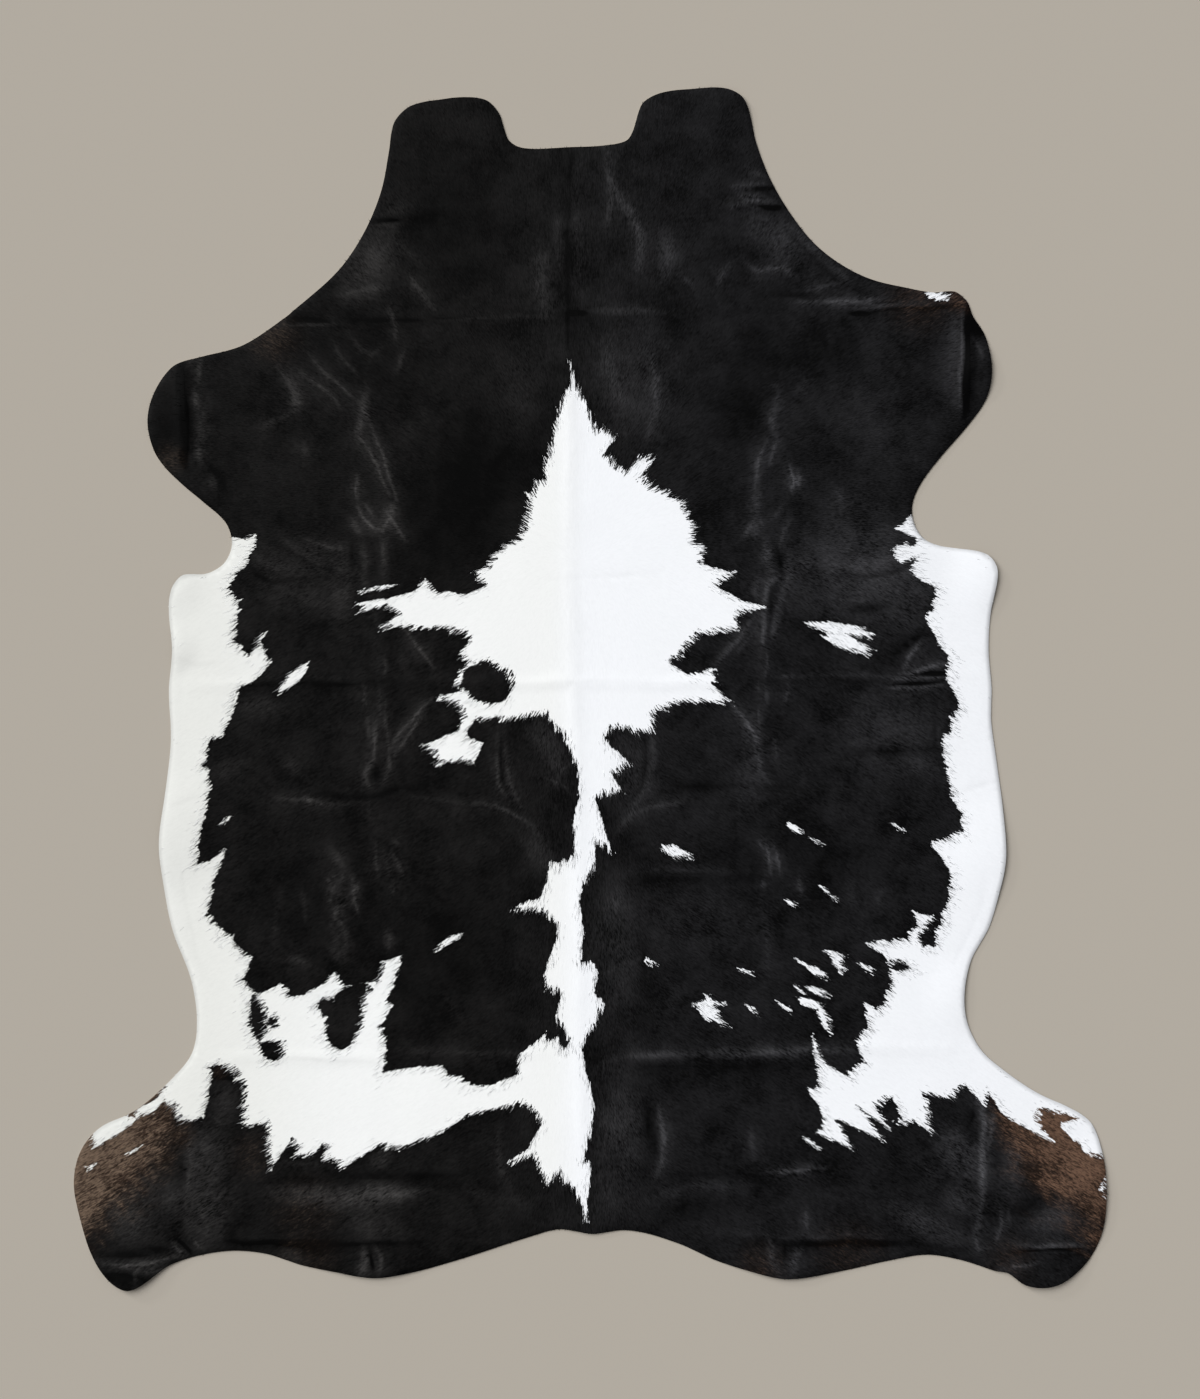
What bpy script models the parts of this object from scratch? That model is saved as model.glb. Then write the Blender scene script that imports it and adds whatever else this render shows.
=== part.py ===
# Hair-on cowhide rug, laid flat with its hair side up.
# It is one cut sheet: the tanned skin with its short coat lying on it. The neck is at +Y, the tail edge
# at -Y, and the underside rests on Z = 0 except where a crease or a curled edge lifts it.

import math

import bmesh
import bpy
import numpy as np
from mathutils import Vector
from mathutils.geometry import delaunay_2d_cdt

CM = 0.01
MM = 0.001

# Driving dimensions, in metres
HIDE_WIDTH = 2.064        # across the hind legs
HIDE_LENGTH = 2.404       # from the neck lobes to the hind leg tips
SKIN_THICKNESS = 0.0025   # tanned leather
COAT_THICKNESS = 0.0025   # short hair lying flat on the leather
COAT_ROLL_OFF = 0.010     # along the cut edge the coat thins to nothing over this width

# Spacing of the points
EDGE_STEP = 0.034         # along the cut edge
EDGE_TURN = math.radians(17)   # and at most this turn between two of its points
CREASE_STEP = 0.075       # along a crease
FIELD_STEP = 0.080        # over the flat field
CLEARANCE = 0.45          # of FIELD_STEP, kept free around the edge and the creases
CREASE_ENDS = (0.15, 0.85)   # a crease rises over the first part of its length and falls over the last
CREASE_END_RISE = 0.2     # and starts and ends at this share of its height
MERGE = 0.0005            # points of the pattern closer than this are one point
SHARP_ANGLE = math.radians(40)

# The cut edge, clockwise from the neck, a table for each stretch: (x_cm, y_cm) of each landmark,
# measured from the middle of the hide. The edge is a smooth curve through them.
CUT_EDGE = {
    "neck end": ((-13.8, 108.4), (-4.0, 108.5), (3.3, 108.9), (7.5, 110.0)),
    "right neck lobe": ((9.0, 113.2), (10.4, 117.2), (14.0, 119.3), (20.0, 120.1), (27.3, 120.1),
                        (30.6, 118.2), (32.0, 114.6)),
    "right neck side": ((33.0, 110.0), (35.6, 102.9), (39.6, 95.8), (44.6, 89.4), (50.0, 85.1)),
    "right foreleg": ((56.0, 82.1), (63.0, 80.4), (68.7, 79.4), (72.8, 79.6), (75.5, 77.3), (76.5, 74.6),
                      (78.7, 71.2), (80.2, 64.3), (79.2, 58.3), (75.0, 52.2), (70.7, 47.3)),
    "right armpit": ((66.2, 41.4), (64.4, 37.2), (64.6, 33.6), (66.5, 30.3), (70.0, 28.7), (76.0, 27.9)),
    "right flank": ((79.4, 26.9), (81.2, 24.4), (81.2, 21.3), (80.1, 16.0), (79.6, 8.0), (80.2, 0.0),
                    (80.1, -6.0), (81.2, -14.5), (82.4, -23.7), (83.0, -34.0), (81.8, -40.3),
                    (79.5, -48.0), (76.3, -53.7), (74.8, -60.0), (75.2, -66.2), (78.0, -72.0)),
    "right hind leg": ((82.0, -75.7), (89.3, -80.7), (96.0, -83.8), (100.0, -86.6), (102.2, -92.3),
                       (103.1, -100.0), (102.3, -108.5), (99.5, -114.2), (94.0, -118.8),
                       (90.0, -119.6), (86.5, -118.9), (83.4, -116.7), (80.8, -116.3)),
    "right tail edge": ((75.0, -114.4), (67.5, -113.1), (60.0, -114.2), (50.0, -116.4), (39.2, -117.9),
                        (32.0, -116.4), (24.5, -114.0), (19.0, -111.4), (10.7, -108.7), (6.0, -108.2)),
    "left tail edge": ((0.3, -108.9), (-6.0, -108.0), (-13.0, -109.8), (-25.0, -113.7), (-35.0, -116.5),
                       (-43.3, -117.7), (-50.0, -116.7), (-58.0, -115.1), (-64.0, -113.1),
                       (-70.7, -112.3), (-78.0, -113.2), (-84.5, -115.4)),
    "left hind leg": ((-88.5, -118.4), (-92.3, -120.2), (-96.0, -118.3), (-99.5, -113.3),
                      (-102.0, -105.7), (-103.2, -98.5), (-101.8, -92.3), (-98.0, -87.7),
                      (-91.0, -84.3), (-84.2, -78.5), (-79.6, -72.8)),
    "left flank": ((-78.6, -66.7), (-79.7, -58.3), (-83.5, -48.0), (-85.3, -38.7), (-86.1, -31.0),
                   (-84.8, -20.0), (-83.8, -10.0), (-84.2, 0.0), (-83.5, 8.0), (-84.2, 15.5),
                   (-83.6, 20.2), (-81.3, 22.9)),
    "left armpit": ((-77.0, 23.1), (-73.3, 25.1), (-71.6, 29.0), (-72.8, 33.3), (-76.5, 36.8)),
    "left foreleg": ((-82.5, 41.9), (-86.7, 46.8), (-88.4, 53.5), (-87.0, 59.6), (-83.3, 64.7),
                     (-78.7, 66.3), (-70.0, 68.6), (-64.0, 72.2)),
    "left neck side": ((-57.5, 77.3), (-50.0, 84.2), (-45.0, 91.8), (-41.7, 100.0), (-40.1, 108.5)),
    "left neck lobe": ((-39.2, 113.3), (-36.0, 116.6), (-30.0, 118.0), (-25.0, 118.5), (-20.6, 117.8),
                       (-18.0, 114.8), (-16.4, 110.0)),
}

# Press lines, puckers and leg folds, each a low ridge of the whole sheet:
# name: (half_width_cm, rise_mm, ((x_cm, y_cm), ...) along its top)
CREASES = {
    "spine": (2.2, 1.5, ((-3.0, 106.0), (-4.0, 75.0), (-4.0, 24.0), (-2.6, -10.0), (-2.4, -45.0),
                         (-2.0, -75.0), (-1.0, -106.0))),
    "shoulder press": (1.9, 2.0, ((-60.0, 73.2), (-4.0, 74.6), (20.0, 75.2), (36.0, 76.8), (72.0, 76.4))),
    "waist press": (1.9, 2.0, ((-82.0, 0.8), (-42.0, 1.3), (18.0, 1.2), (44.0, 1.2), (78.0, 2.8))),
    "left loin press": (1.8, 2.0, ((-63.0, -21.2), (-28.0, -22.2), (-17.0, -23.8), (-9.6, -29.5))),
    "right loin press": (1.8, 2.0, ((6.0, -29.5), (10.0, -25.4), (20.0, -22.6), (58.0, -21.2))),
    "right rump press": (1.8, 1.5, ((3.4, -43.0), (7.0, -38.8), (16.0, -37.4), (62.0, -36.4))),
    "left hip press": (2.0, 2.0, ((-76.0, -73.6), (-41.0, -73.8), (-10.0, -72.8))),
    "right hip press": (2.0, 3.0, ((3.0, -74.4), (24.0, -73.6), (54.0, -71.8), (72.0, -72.2))),
    "left tail press": (2.4, 3.0, ((-66.0, -98.0), (-32.0, -97.4), (-14.0, -98.6))),
    "right tail press": (1.8, 1.5, ((14.0, -96.4), (46.0, -95.8))),
    "left hem press": (2.0, 2.5, ((-78.0, -110.4), (-58.0, -110.4), (-24.0, -110.2))),
    "right hem press": (2.0, 2.5, ((24.0, -109.8), (60.0, -110.2), (94.0, -111.4))),
    "left shoulder pucker": (2.0, 3.0, ((-60.0, 64.0), (-50.0, 54.0), (-44.0, 46.0), (-40.0, 35.0))),
    "left flank pucker": (2.2, 4.5, ((-40.0, 29.0), (-41.0, 16.0), (-41.2, -4.0), (-43.0, -18.0))),
    "left upper brace": (1.6, 2.5, ((-37.6, 12.0), (-31.5, 4.6))),
    "left lower brace": (1.6, 2.5, ((-31.5, -2.0), (-38.4, -12.0))),
    "right shoulder pucker": (2.0, 3.5, ((37.2, 57.0), (35.0, 48.0), (33.4, 36.0))),
    "right flank pucker": (2.2, 5.0, ((36.4, 30.0), (37.0, 22.0), (34.8, 13.0), (35.2, -6.0))),
    "right upper brace": (1.6, 3.0, ((33.4, 15.0), (29.0, 9.4), (25.4, 4.8))),
    "right lower brace": (1.6, 2.5, ((28.4, -3.2), (33.6, -9.8))),
    "left spine arc": (1.6, 2.0, ((-18.8, -8.0), (-18.8, -17.0), (-16.6, -22.0))),
    "right spine arc": (1.6, 2.0, ((13.4, -8.0), (13.0, -16.0), (9.6, -22.0))),
    "left foreleg fold": (2.4, 6.0, ((-81.2, 64.4), (-81.4, 55.0), (-81.2, 45.0))),
    "right foreleg fold": (2.2, 5.0, ((75.0, 75.0), (75.2, 65.0), (74.0, 54.4))),
    "left hind leg fold": (2.6, 4.0, ((-82.0, -86.0), (-82.6, -98.0), (-84.0, -111.0))),
    "right hind leg fold": (2.6, 5.0, ((79.8, -84.0), (79.2, -96.0), (77.8, -107.0))),
    "left neck fold": (1.4, 3.0, ((-42.0, 93.8), (-30.0, 95.4))),
    "right neck fold": (1.6, 3.5, ((27.0, 97.4), (37.6, 96.2))),
    "left flank dart": (1.8, 3.0, ((-68.0, 26.0), (-60.0, 22.4), (-49.0, 22.0))),
    "right flank dart": (1.8, 3.0, ((46.0, 24.0), (54.0, 22.6), (60.0, 26.0))),
}

# Where the cut edge curls off the floor: name: (x_cm, y_cm, radius_cm, rise_mm)
CURLS = {
    "left hind leg tip": (-92.0, -120.0, 15.0, 11.0),
    "right hind leg tip": (91.0, -119.5, 14.0, 10.0),
    "right hind leg side": (103.0, -101.0, 13.0, 6.0),
    "left foreleg tip": (-88.4, 54.0, 9.0, 6.0),
    "right foreleg tip": (80.2, 64.0, 8.0, 7.0),
    "right armpit corner": (81.4, 23.0, 11.0, 8.0),
    "left armpit corner": (-83.6, 21.0, 8.0, 4.0),
    "right neck lobe": (29.0, 120.0, 11.0, 6.0),
    "left neck lobe": (-37.0, 116.0, 9.0, 4.0),
    "left flank nick": (-83.4, 8.0, 6.0, 5.0),
    "left flank wave": (-86.0, -29.0, 15.0, 8.0),
    "right flank wave": (83.0, -33.0, 15.0, 7.0),
    "right flank notch": (74.6, -61.0, 9.0, 5.0),
    "left tail lobe": (-44.0, -118.0, 14.0, 6.0),
    "right tail lobe": (39.0, -118.2, 14.0, 6.0),
    "tail notch": (0.3, -109.0, 8.0, 3.0),
}


def smooth_edge(landmarks):
    # A closed centripetal Catmull-Rom curve through the landmarks, with more points where it turns.
    points = []
    count = len(landmarks)
    for i in range(count):
        p0, p1, p2, p3 = (landmarks[(i + k) % count] for k in (-1, 0, 1, 2))
        t1, t2, t3 = np.cumsum([math.sqrt((b - a).length) for a, b in ((p0, p1), (p1, p2), (p2, p3))])
        turn = (p2 - p0).angle(p3 - p1)
        pieces = max(math.ceil((p2 - p1).length / EDGE_STEP), math.ceil(turn / EDGE_TURN))
        for t in np.linspace(t1, t2, pieces, endpoint=False):
            a1 = p0.lerp(p1, t / t1)
            a2 = p1.lerp(p2, (t - t1) / (t2 - t1))
            a3 = p2.lerp(p3, (t - t2) / (t3 - t2))
            b1 = a1.lerp(a2, t / t2)
            b2 = a2.lerp(a3, (t - t1) / (t3 - t1))
            points.append(b1.lerp(b2, (t - t1) / (t2 - t1)))
    return points


def hide_frame():
    # The tables' middle and scale, so that the hide has its driving width and length.
    edge = smooth_edge([Vector(row) * CM for rows in CUT_EDGE.values() for row in rows])
    low = Vector((min(p.x for p in edge), min(p.y for p in edge)))
    high = Vector((max(p.x for p in edge), max(p.y for p in edge)))
    scale = (HIDE_WIDTH / (high.x - low.x), HIDE_LENGTH / (high.y - low.y))
    return (low + high) / 2, scale, edge


MIDDLE, SCALE, RAW_EDGE = hide_frame()


def on_hide(point):
    return Vector(((point[0] - MIDDLE.x) * SCALE[0], (point[1] - MIDDLE.y) * SCALE[1]))


def table_point(x_cm, y_cm):
    return on_hide((x_cm * CM, y_cm * CM))


def inset_loop(edge, distance):
    # The same closed curve, moved towards the inside of a clockwise loop.
    count = len(edge)
    loop = []
    for i in range(count):
        along = (edge[(i + 1) % count] - edge[i - 1]).normalized()
        loop.append(edge[i] + Vector((along.y, -along.x)) * distance)
    return loop


def crease_line(rows):
    # The crease's top as evenly spaced points, with the unit normal at each.
    corners = [table_point(*row) for row in rows]
    line = []
    for a, b in zip(corners, corners[1:]):
        pieces = math.ceil((b - a).length / CREASE_STEP)
        line += [a.lerp(b, k / pieces) for k in range(pieces)]
    line.append(corners[-1])
    normals = []
    for i in range(len(line)):
        along = (line[min(i + 1, len(line) - 1)] - line[max(i - 1, 0)]).normalized()
        normals.append(Vector((-along.y, along.x)))
    return line, normals


def bump(distance, reach):
    # A soft hump: 1 in the middle, 0 from the reach outwards.
    return np.clip(1 - (distance / reach) ** 2, 0, None) ** 2


def crease_rise(points, half_width, rise, rows):
    # Height of one crease over the points, falling off across it and towards both of its ends.
    corners = np.array([table_point(*row) for row in rows])
    steps = np.diff(corners, axis=0)
    lengths = np.linalg.norm(steps, axis=1)
    total = lengths.sum()
    best = np.full(len(points), np.inf)
    share = np.zeros(len(points))
    run = 0.0
    for start, step, length in zip(corners, steps, lengths):
        along = np.clip((points - start) @ step / length ** 2, 0, 1)
        distance = np.linalg.norm(points - start - along[:, None] * step, axis=1)
        nearer = distance < best
        best[nearer] = distance[nearer]
        share[nearer] = (run + along[nearer] * length) / total
        run += length
    fade = np.interp(share, (0, *CREASE_ENDS, 1), (CREASE_END_RISE, 1, 1, CREASE_END_RISE))
    return rise * fade * bump(best, half_width)


def lift(points):
    # How far the underside stands off the floor at each point.
    creases = [crease_rise(points, w * CM, h * MM, rows) for w, h, rows in CREASES.values()]
    curls = [h * MM * bump(np.linalg.norm(points - np.array(table_point(x, y)), axis=1), r * CM)
             for x, y, r, h in CURLS.values()]
    return np.max(creases, axis=0) + np.max(curls, axis=0)


def field_points(edge, taken):
    # A staggered grid over the inside of the edge, clear of the points already taken.
    loop = np.array([tuple(p) for p in edge])
    after = np.roll(loop, -1, axis=0)
    taken = np.array([tuple(p) for p in taken])
    row_step = FIELD_STEP * math.sqrt(3) / 2
    points = []
    for row in range(-round(HIDE_LENGTH / row_step / 2), round(HIDE_LENGTH / row_step / 2) + 1):
        for column in range(-round(HIDE_WIDTH / FIELD_STEP / 2), round(HIDE_WIDTH / FIELD_STEP / 2) + 1):
            x, y = (column + row % 2 / 2) * FIELD_STEP, row * row_step
            spans = (loop[:, 1] > y) != (after[:, 1] > y)
            rise = np.where(spans, after[:, 1] - loop[:, 1], 1)
            crossing = loop[:, 0] + (y - loop[:, 1]) / rise * (after[:, 0] - loop[:, 0])
            inside = np.count_nonzero(spans & (crossing > x)) % 2 == 1
            clear = np.min(np.hypot(taken[:, 0] - x, taken[:, 1] - y)) > CLEARANCE * FIELD_STEP
            if inside and clear:
                points.append(Vector((x, y)))
    return points


def flat_pattern():
    # The hide's flat pattern: its points and triangles, with every crease along a row of edges.
    edge = [on_hide(p) for p in RAW_EDGE]
    points = list(edge)
    points += inset_loop(edge, COAT_ROLL_OFF)
    lines = []
    for half_width, _, rows in CREASES.values():
        line, normals = crease_line(rows)
        lines += [(len(points) + k, len(points) + k + 1) for k in range(len(line) - 1)]
        points += line
        points += [p + n * half_width * CM for p, n in zip(line, normals)]
        points += [p - n * half_width * CM for p, n in zip(line, normals)]
    points += field_points(edge, points)
    outline = list(range(len(edge)))[::-1]
    inside_only = 1
    verts, _, faces, *_ = delaunay_2d_cdt(points, lines, [outline], inside_only, MERGE)
    return verts, faces


def leather(name, color, roughness):
    material = bpy.data.materials.new(name)
    material.use_nodes = True
    shader = material.node_tree.nodes["Principled BSDF"]
    shader.inputs["Base Color"].default_value = (*color, 1.0)
    shader.inputs["Roughness"].default_value = roughness
    shader.inputs["Metallic"].default_value = 0.0
    return material


def build_hide():
    pattern, faces = flat_pattern()
    heights = lift(np.array([tuple(p) for p in pattern]))
    body = bmesh.new()
    underside = [body.verts.new((p.x, p.y, h)) for p, h in zip(pattern, heights)]
    for face in faces:
        body.faces.new([underside[i] for i in face])
    top = bmesh.ops.extrude_face_region(body, geom=body.faces[:], use_keep_orig=True)["geom"]
    for vert in [item for item in top if isinstance(item, bmesh.types.BMVert)]:
        at_cut_edge = any(len(face.verts) == 4 for face in vert.link_faces)   # the edge's own walls
        vert.co.z += SKIN_THICKNESS if at_cut_edge else SKIN_THICKNESS + COAT_THICKNESS
    bmesh.ops.recalc_face_normals(body, faces=body.faces)

    mesh = bpy.data.meshes.new("hide")
    body.to_mesh(mesh)
    body.free()
    mesh.shade_smooth()
    mesh.set_sharp_from_angle(angle=SHARP_ANGLE)
    mesh.materials.append(leather("black and white coat", (0.035, 0.03, 0.028), 0.55))
    hide = bpy.data.objects.new("hide", mesh)
    bpy.context.scene.collection.objects.link(hide)


for old in list(bpy.data.objects):
    bpy.data.objects.remove(old)
build_hide()
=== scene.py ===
import math

import bmesh
import bpy
import numpy as np
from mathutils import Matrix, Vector, noise
from mathutils.geometry import delaunay_2d_cdt


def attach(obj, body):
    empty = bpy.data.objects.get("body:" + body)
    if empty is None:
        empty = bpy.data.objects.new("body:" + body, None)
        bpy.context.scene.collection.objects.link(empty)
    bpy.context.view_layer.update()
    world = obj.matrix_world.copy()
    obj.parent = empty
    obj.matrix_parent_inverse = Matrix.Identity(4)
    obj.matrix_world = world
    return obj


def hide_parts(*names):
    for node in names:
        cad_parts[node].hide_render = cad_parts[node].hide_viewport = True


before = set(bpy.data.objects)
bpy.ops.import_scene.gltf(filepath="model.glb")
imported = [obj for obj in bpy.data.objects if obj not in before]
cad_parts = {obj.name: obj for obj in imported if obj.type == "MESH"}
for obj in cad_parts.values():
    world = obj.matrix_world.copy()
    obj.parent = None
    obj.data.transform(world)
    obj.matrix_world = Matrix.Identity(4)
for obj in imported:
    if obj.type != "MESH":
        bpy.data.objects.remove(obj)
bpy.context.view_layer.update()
scene = bpy.context.scene
cm = 0.01
mm = 0.001
tiny = 1e-12                      # keeps a division from dividing by nothing
almostOne = 0.99999               # and an arccosine within its range

# A hair-on cowhide rug on the floor, neck at +Y, seen from straight above. Tables are in centimetres
# from the middle of the hide, and the hide's own outline comes from its solid in model.glb.

sheetSizes = {
    "skin": 2.5 * mm,             # tanned leather
    "coat": 2.5 * mm,             # short hair lying on it
    "rollOff": 10 * mm,           # the coat thins over this width at the cut edge
    "rings": (0.35, 1.0),         # shares of it where rings of points follow the edge
    "ringClear": 0.28,            # and the share of it that stays free of them
    "reliefWidth": 3,             # widths of it over which the relief grows from nothing
    "rimStep": 7 * mm,
    "coarseStep": 14 * mm,        # squares of the field, halved twice where markings and creases need it
    "nearBorder": 8 * mm,         # halved once this near a border of the markings
    "atBorder": 3 * mm,           # and twice this near
    "squareReach": 0.75,          # from a square's middle past its corners, as a share of its side
    "underStep": 28 * mm,
    "clearRim": 5 * mm,
    "undulation": 0.7 * mm,       # the leather's own unevenness
    "undulationSize": 90 * mm,
    "pebble": 0.18 * mm,
    "pebbleSize": 22 * mm,
    "sharpAngle": 60,             # degrees between faces past which their edge stays sharp
    "wallSlope": 0.5,             # a face of the solid whose normal rises less than this is a wall
    "mergeGap": 0.01 * mm,
}

creaseSizes = {
    "rise": 3.0 * mm,             # height of a fine crease of strength 1
    "fullWidth": 6 * mm,          # half width from which it has its whole height
    "narrowest": 3.5 * mm,        # finer ones are drawn this wide
    "coreReach": 1.25,
    "halo": 20 * mm,              # soft rise on both sides of it
    "haloReach": 1.5,
    "haloShare": 0.30,
    "endShare": 0.1,              # of the half wave of its height, missing at each end
    "waver": 5 * mm,              # how far creases wander sideways
    "waverSize": 60 * mm,
    "fade": (0.72, 0.75),         # middle of their strength along the way, and its swing
    "fadeSize": 110 * mm,
    "fadeLimits": (0.3, 1.15),
    "faint": 0.12,                # those up to this strength or from this half width need no finer squares
    "broad": 13 * mm,
}

# Ragged borders of the markings
toothSizes = {
    "reach": 9 * mm,              # how far they wander along the hair
    "width": 6.5 * mm,
    "length": 30 * mm,
    "bay": 5 * mm,                # and the slower bays and tongues between them
    "baySize": 24 * mm,
    "islandShare": 0.65,          # the dark islands wander less
    "streakShare": 0.35,          # and the white streaks least
    "streakBlunt": 0.06,          # of the half wave of a strand's width, missing at each end
    "pushLimit": 1.2,             # steepest border along the hair that tufts lie over
}

# Which slice of the noise each use takes
noiseLayers = {
    "undulation": 1.3, "pebble": 5.9, "waverX": 2.2, "waverY": 6.4, "fade": 9.5,
    "tooth": 3.1, "bay": 7.7, "brown": 4.4, "brownStreak": 2.7,
}

# Press lines, puckers and leg folds, each a low ridge of the whole sheet, as on the solid:
# name: (halfWidth in cm, rise in mm, ((x, y), ...) along its top)
foldLines = {
    "spine": (2.2, 1.5, ((-3.0, 106.0), (-4.0, 75.0), (-4.0, 24.0), (-2.6, -10.0), (-2.4, -45.0),
                         (-2.0, -75.0), (-1.0, -106.0))),
    "shoulder press": (1.9, 2.0, ((-60.0, 73.2), (-4.0, 74.6), (20.0, 75.2), (36.0, 76.8), (72.0, 76.4))),
    "waist press": (1.9, 2.0, ((-82.0, 0.8), (-42.0, 1.3), (18.0, 1.2), (44.0, 1.2), (78.0, 2.8))),
    "left loin press": (1.8, 2.0, ((-63.0, -21.2), (-28.0, -22.2), (-17.0, -23.8), (-9.6, -29.5))),
    "right loin press": (1.8, 2.0, ((6.0, -29.5), (10.0, -25.4), (20.0, -22.6), (58.0, -21.2))),
    "right rump press": (1.8, 1.5, ((3.4, -43.0), (7.0, -38.8), (16.0, -37.4), (62.0, -36.4))),
    "left hip press": (2.0, 2.0, ((-76.0, -73.6), (-41.0, -73.8), (-10.0, -72.8))),
    "right hip press": (2.0, 3.0, ((3.0, -74.4), (24.0, -73.6), (54.0, -71.8), (72.0, -72.2))),
    "left tail press": (2.4, 3.0, ((-66.0, -98.0), (-32.0, -97.4), (-14.0, -98.6))),
    "right tail press": (1.8, 1.5, ((14.0, -96.4), (46.0, -95.8))),
    "left hem press": (2.0, 2.5, ((-78.0, -110.4), (-58.0, -110.4), (-24.0, -110.2))),
    "right hem press": (2.0, 2.5, ((24.0, -109.8), (60.0, -110.2), (94.0, -111.4))),
    "left shoulder pucker": (2.0, 3.0, ((-60.0, 64.0), (-50.0, 54.0), (-44.0, 46.0), (-40.0, 35.0))),
    "left flank pucker": (2.2, 4.5, ((-40.0, 29.0), (-41.0, 16.0), (-41.2, -4.0), (-43.0, -18.0))),
    "left upper brace": (1.6, 2.5, ((-37.6, 12.0), (-31.5, 4.6))),
    "left lower brace": (1.6, 2.5, ((-31.5, -2.0), (-38.4, -12.0))),
    "right shoulder pucker": (2.0, 3.5, ((37.2, 57.0), (35.0, 48.0), (33.4, 36.0))),
    "right flank pucker": (2.2, 5.0, ((36.4, 30.0), (37.0, 22.0), (34.8, 13.0), (35.2, -6.0))),
    "right upper brace": (1.6, 3.0, ((33.4, 15.0), (29.0, 9.4), (25.4, 4.8))),
    "right lower brace": (1.6, 2.5, ((28.4, -3.2), (33.6, -9.8))),
    "left spine arc": (1.6, 2.0, ((-18.8, -8.0), (-18.8, -17.0), (-16.6, -22.0))),
    "right spine arc": (1.6, 2.0, ((13.4, -8.0), (13.0, -16.0), (9.6, -22.0))),
    "left foreleg fold": (2.4, 6.0, ((-81.2, 64.4), (-81.4, 55.0), (-81.2, 45.0))),
    "right foreleg fold": (2.2, 5.0, ((75.0, 75.0), (75.2, 65.0), (74.0, 54.4))),
    "left hind leg fold": (2.6, 4.0, ((-82.0, -86.0), (-82.6, -98.0), (-84.0, -111.0))),
    "right hind leg fold": (2.6, 5.0, ((79.8, -84.0), (79.2, -96.0), (77.8, -107.0))),
    "left neck fold": (1.4, 3.0, ((-42.0, 93.8), (-30.0, 95.4))),
    "right neck fold": (1.6, 3.5, ((27.0, 97.4), (37.6, 96.2))),
    "left flank dart": (1.8, 3.0, ((-68.0, 26.0), (-60.0, 22.4), (-49.0, 22.0))),
    "right flank dart": (1.8, 3.0, ((46.0, 24.0), (54.0, 22.6), (60.0, 26.0))),
}
foldEnds = {"share": (0, 0.15, 0.85, 1), "height": (0.2, 1, 1, 0.2)}
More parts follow.
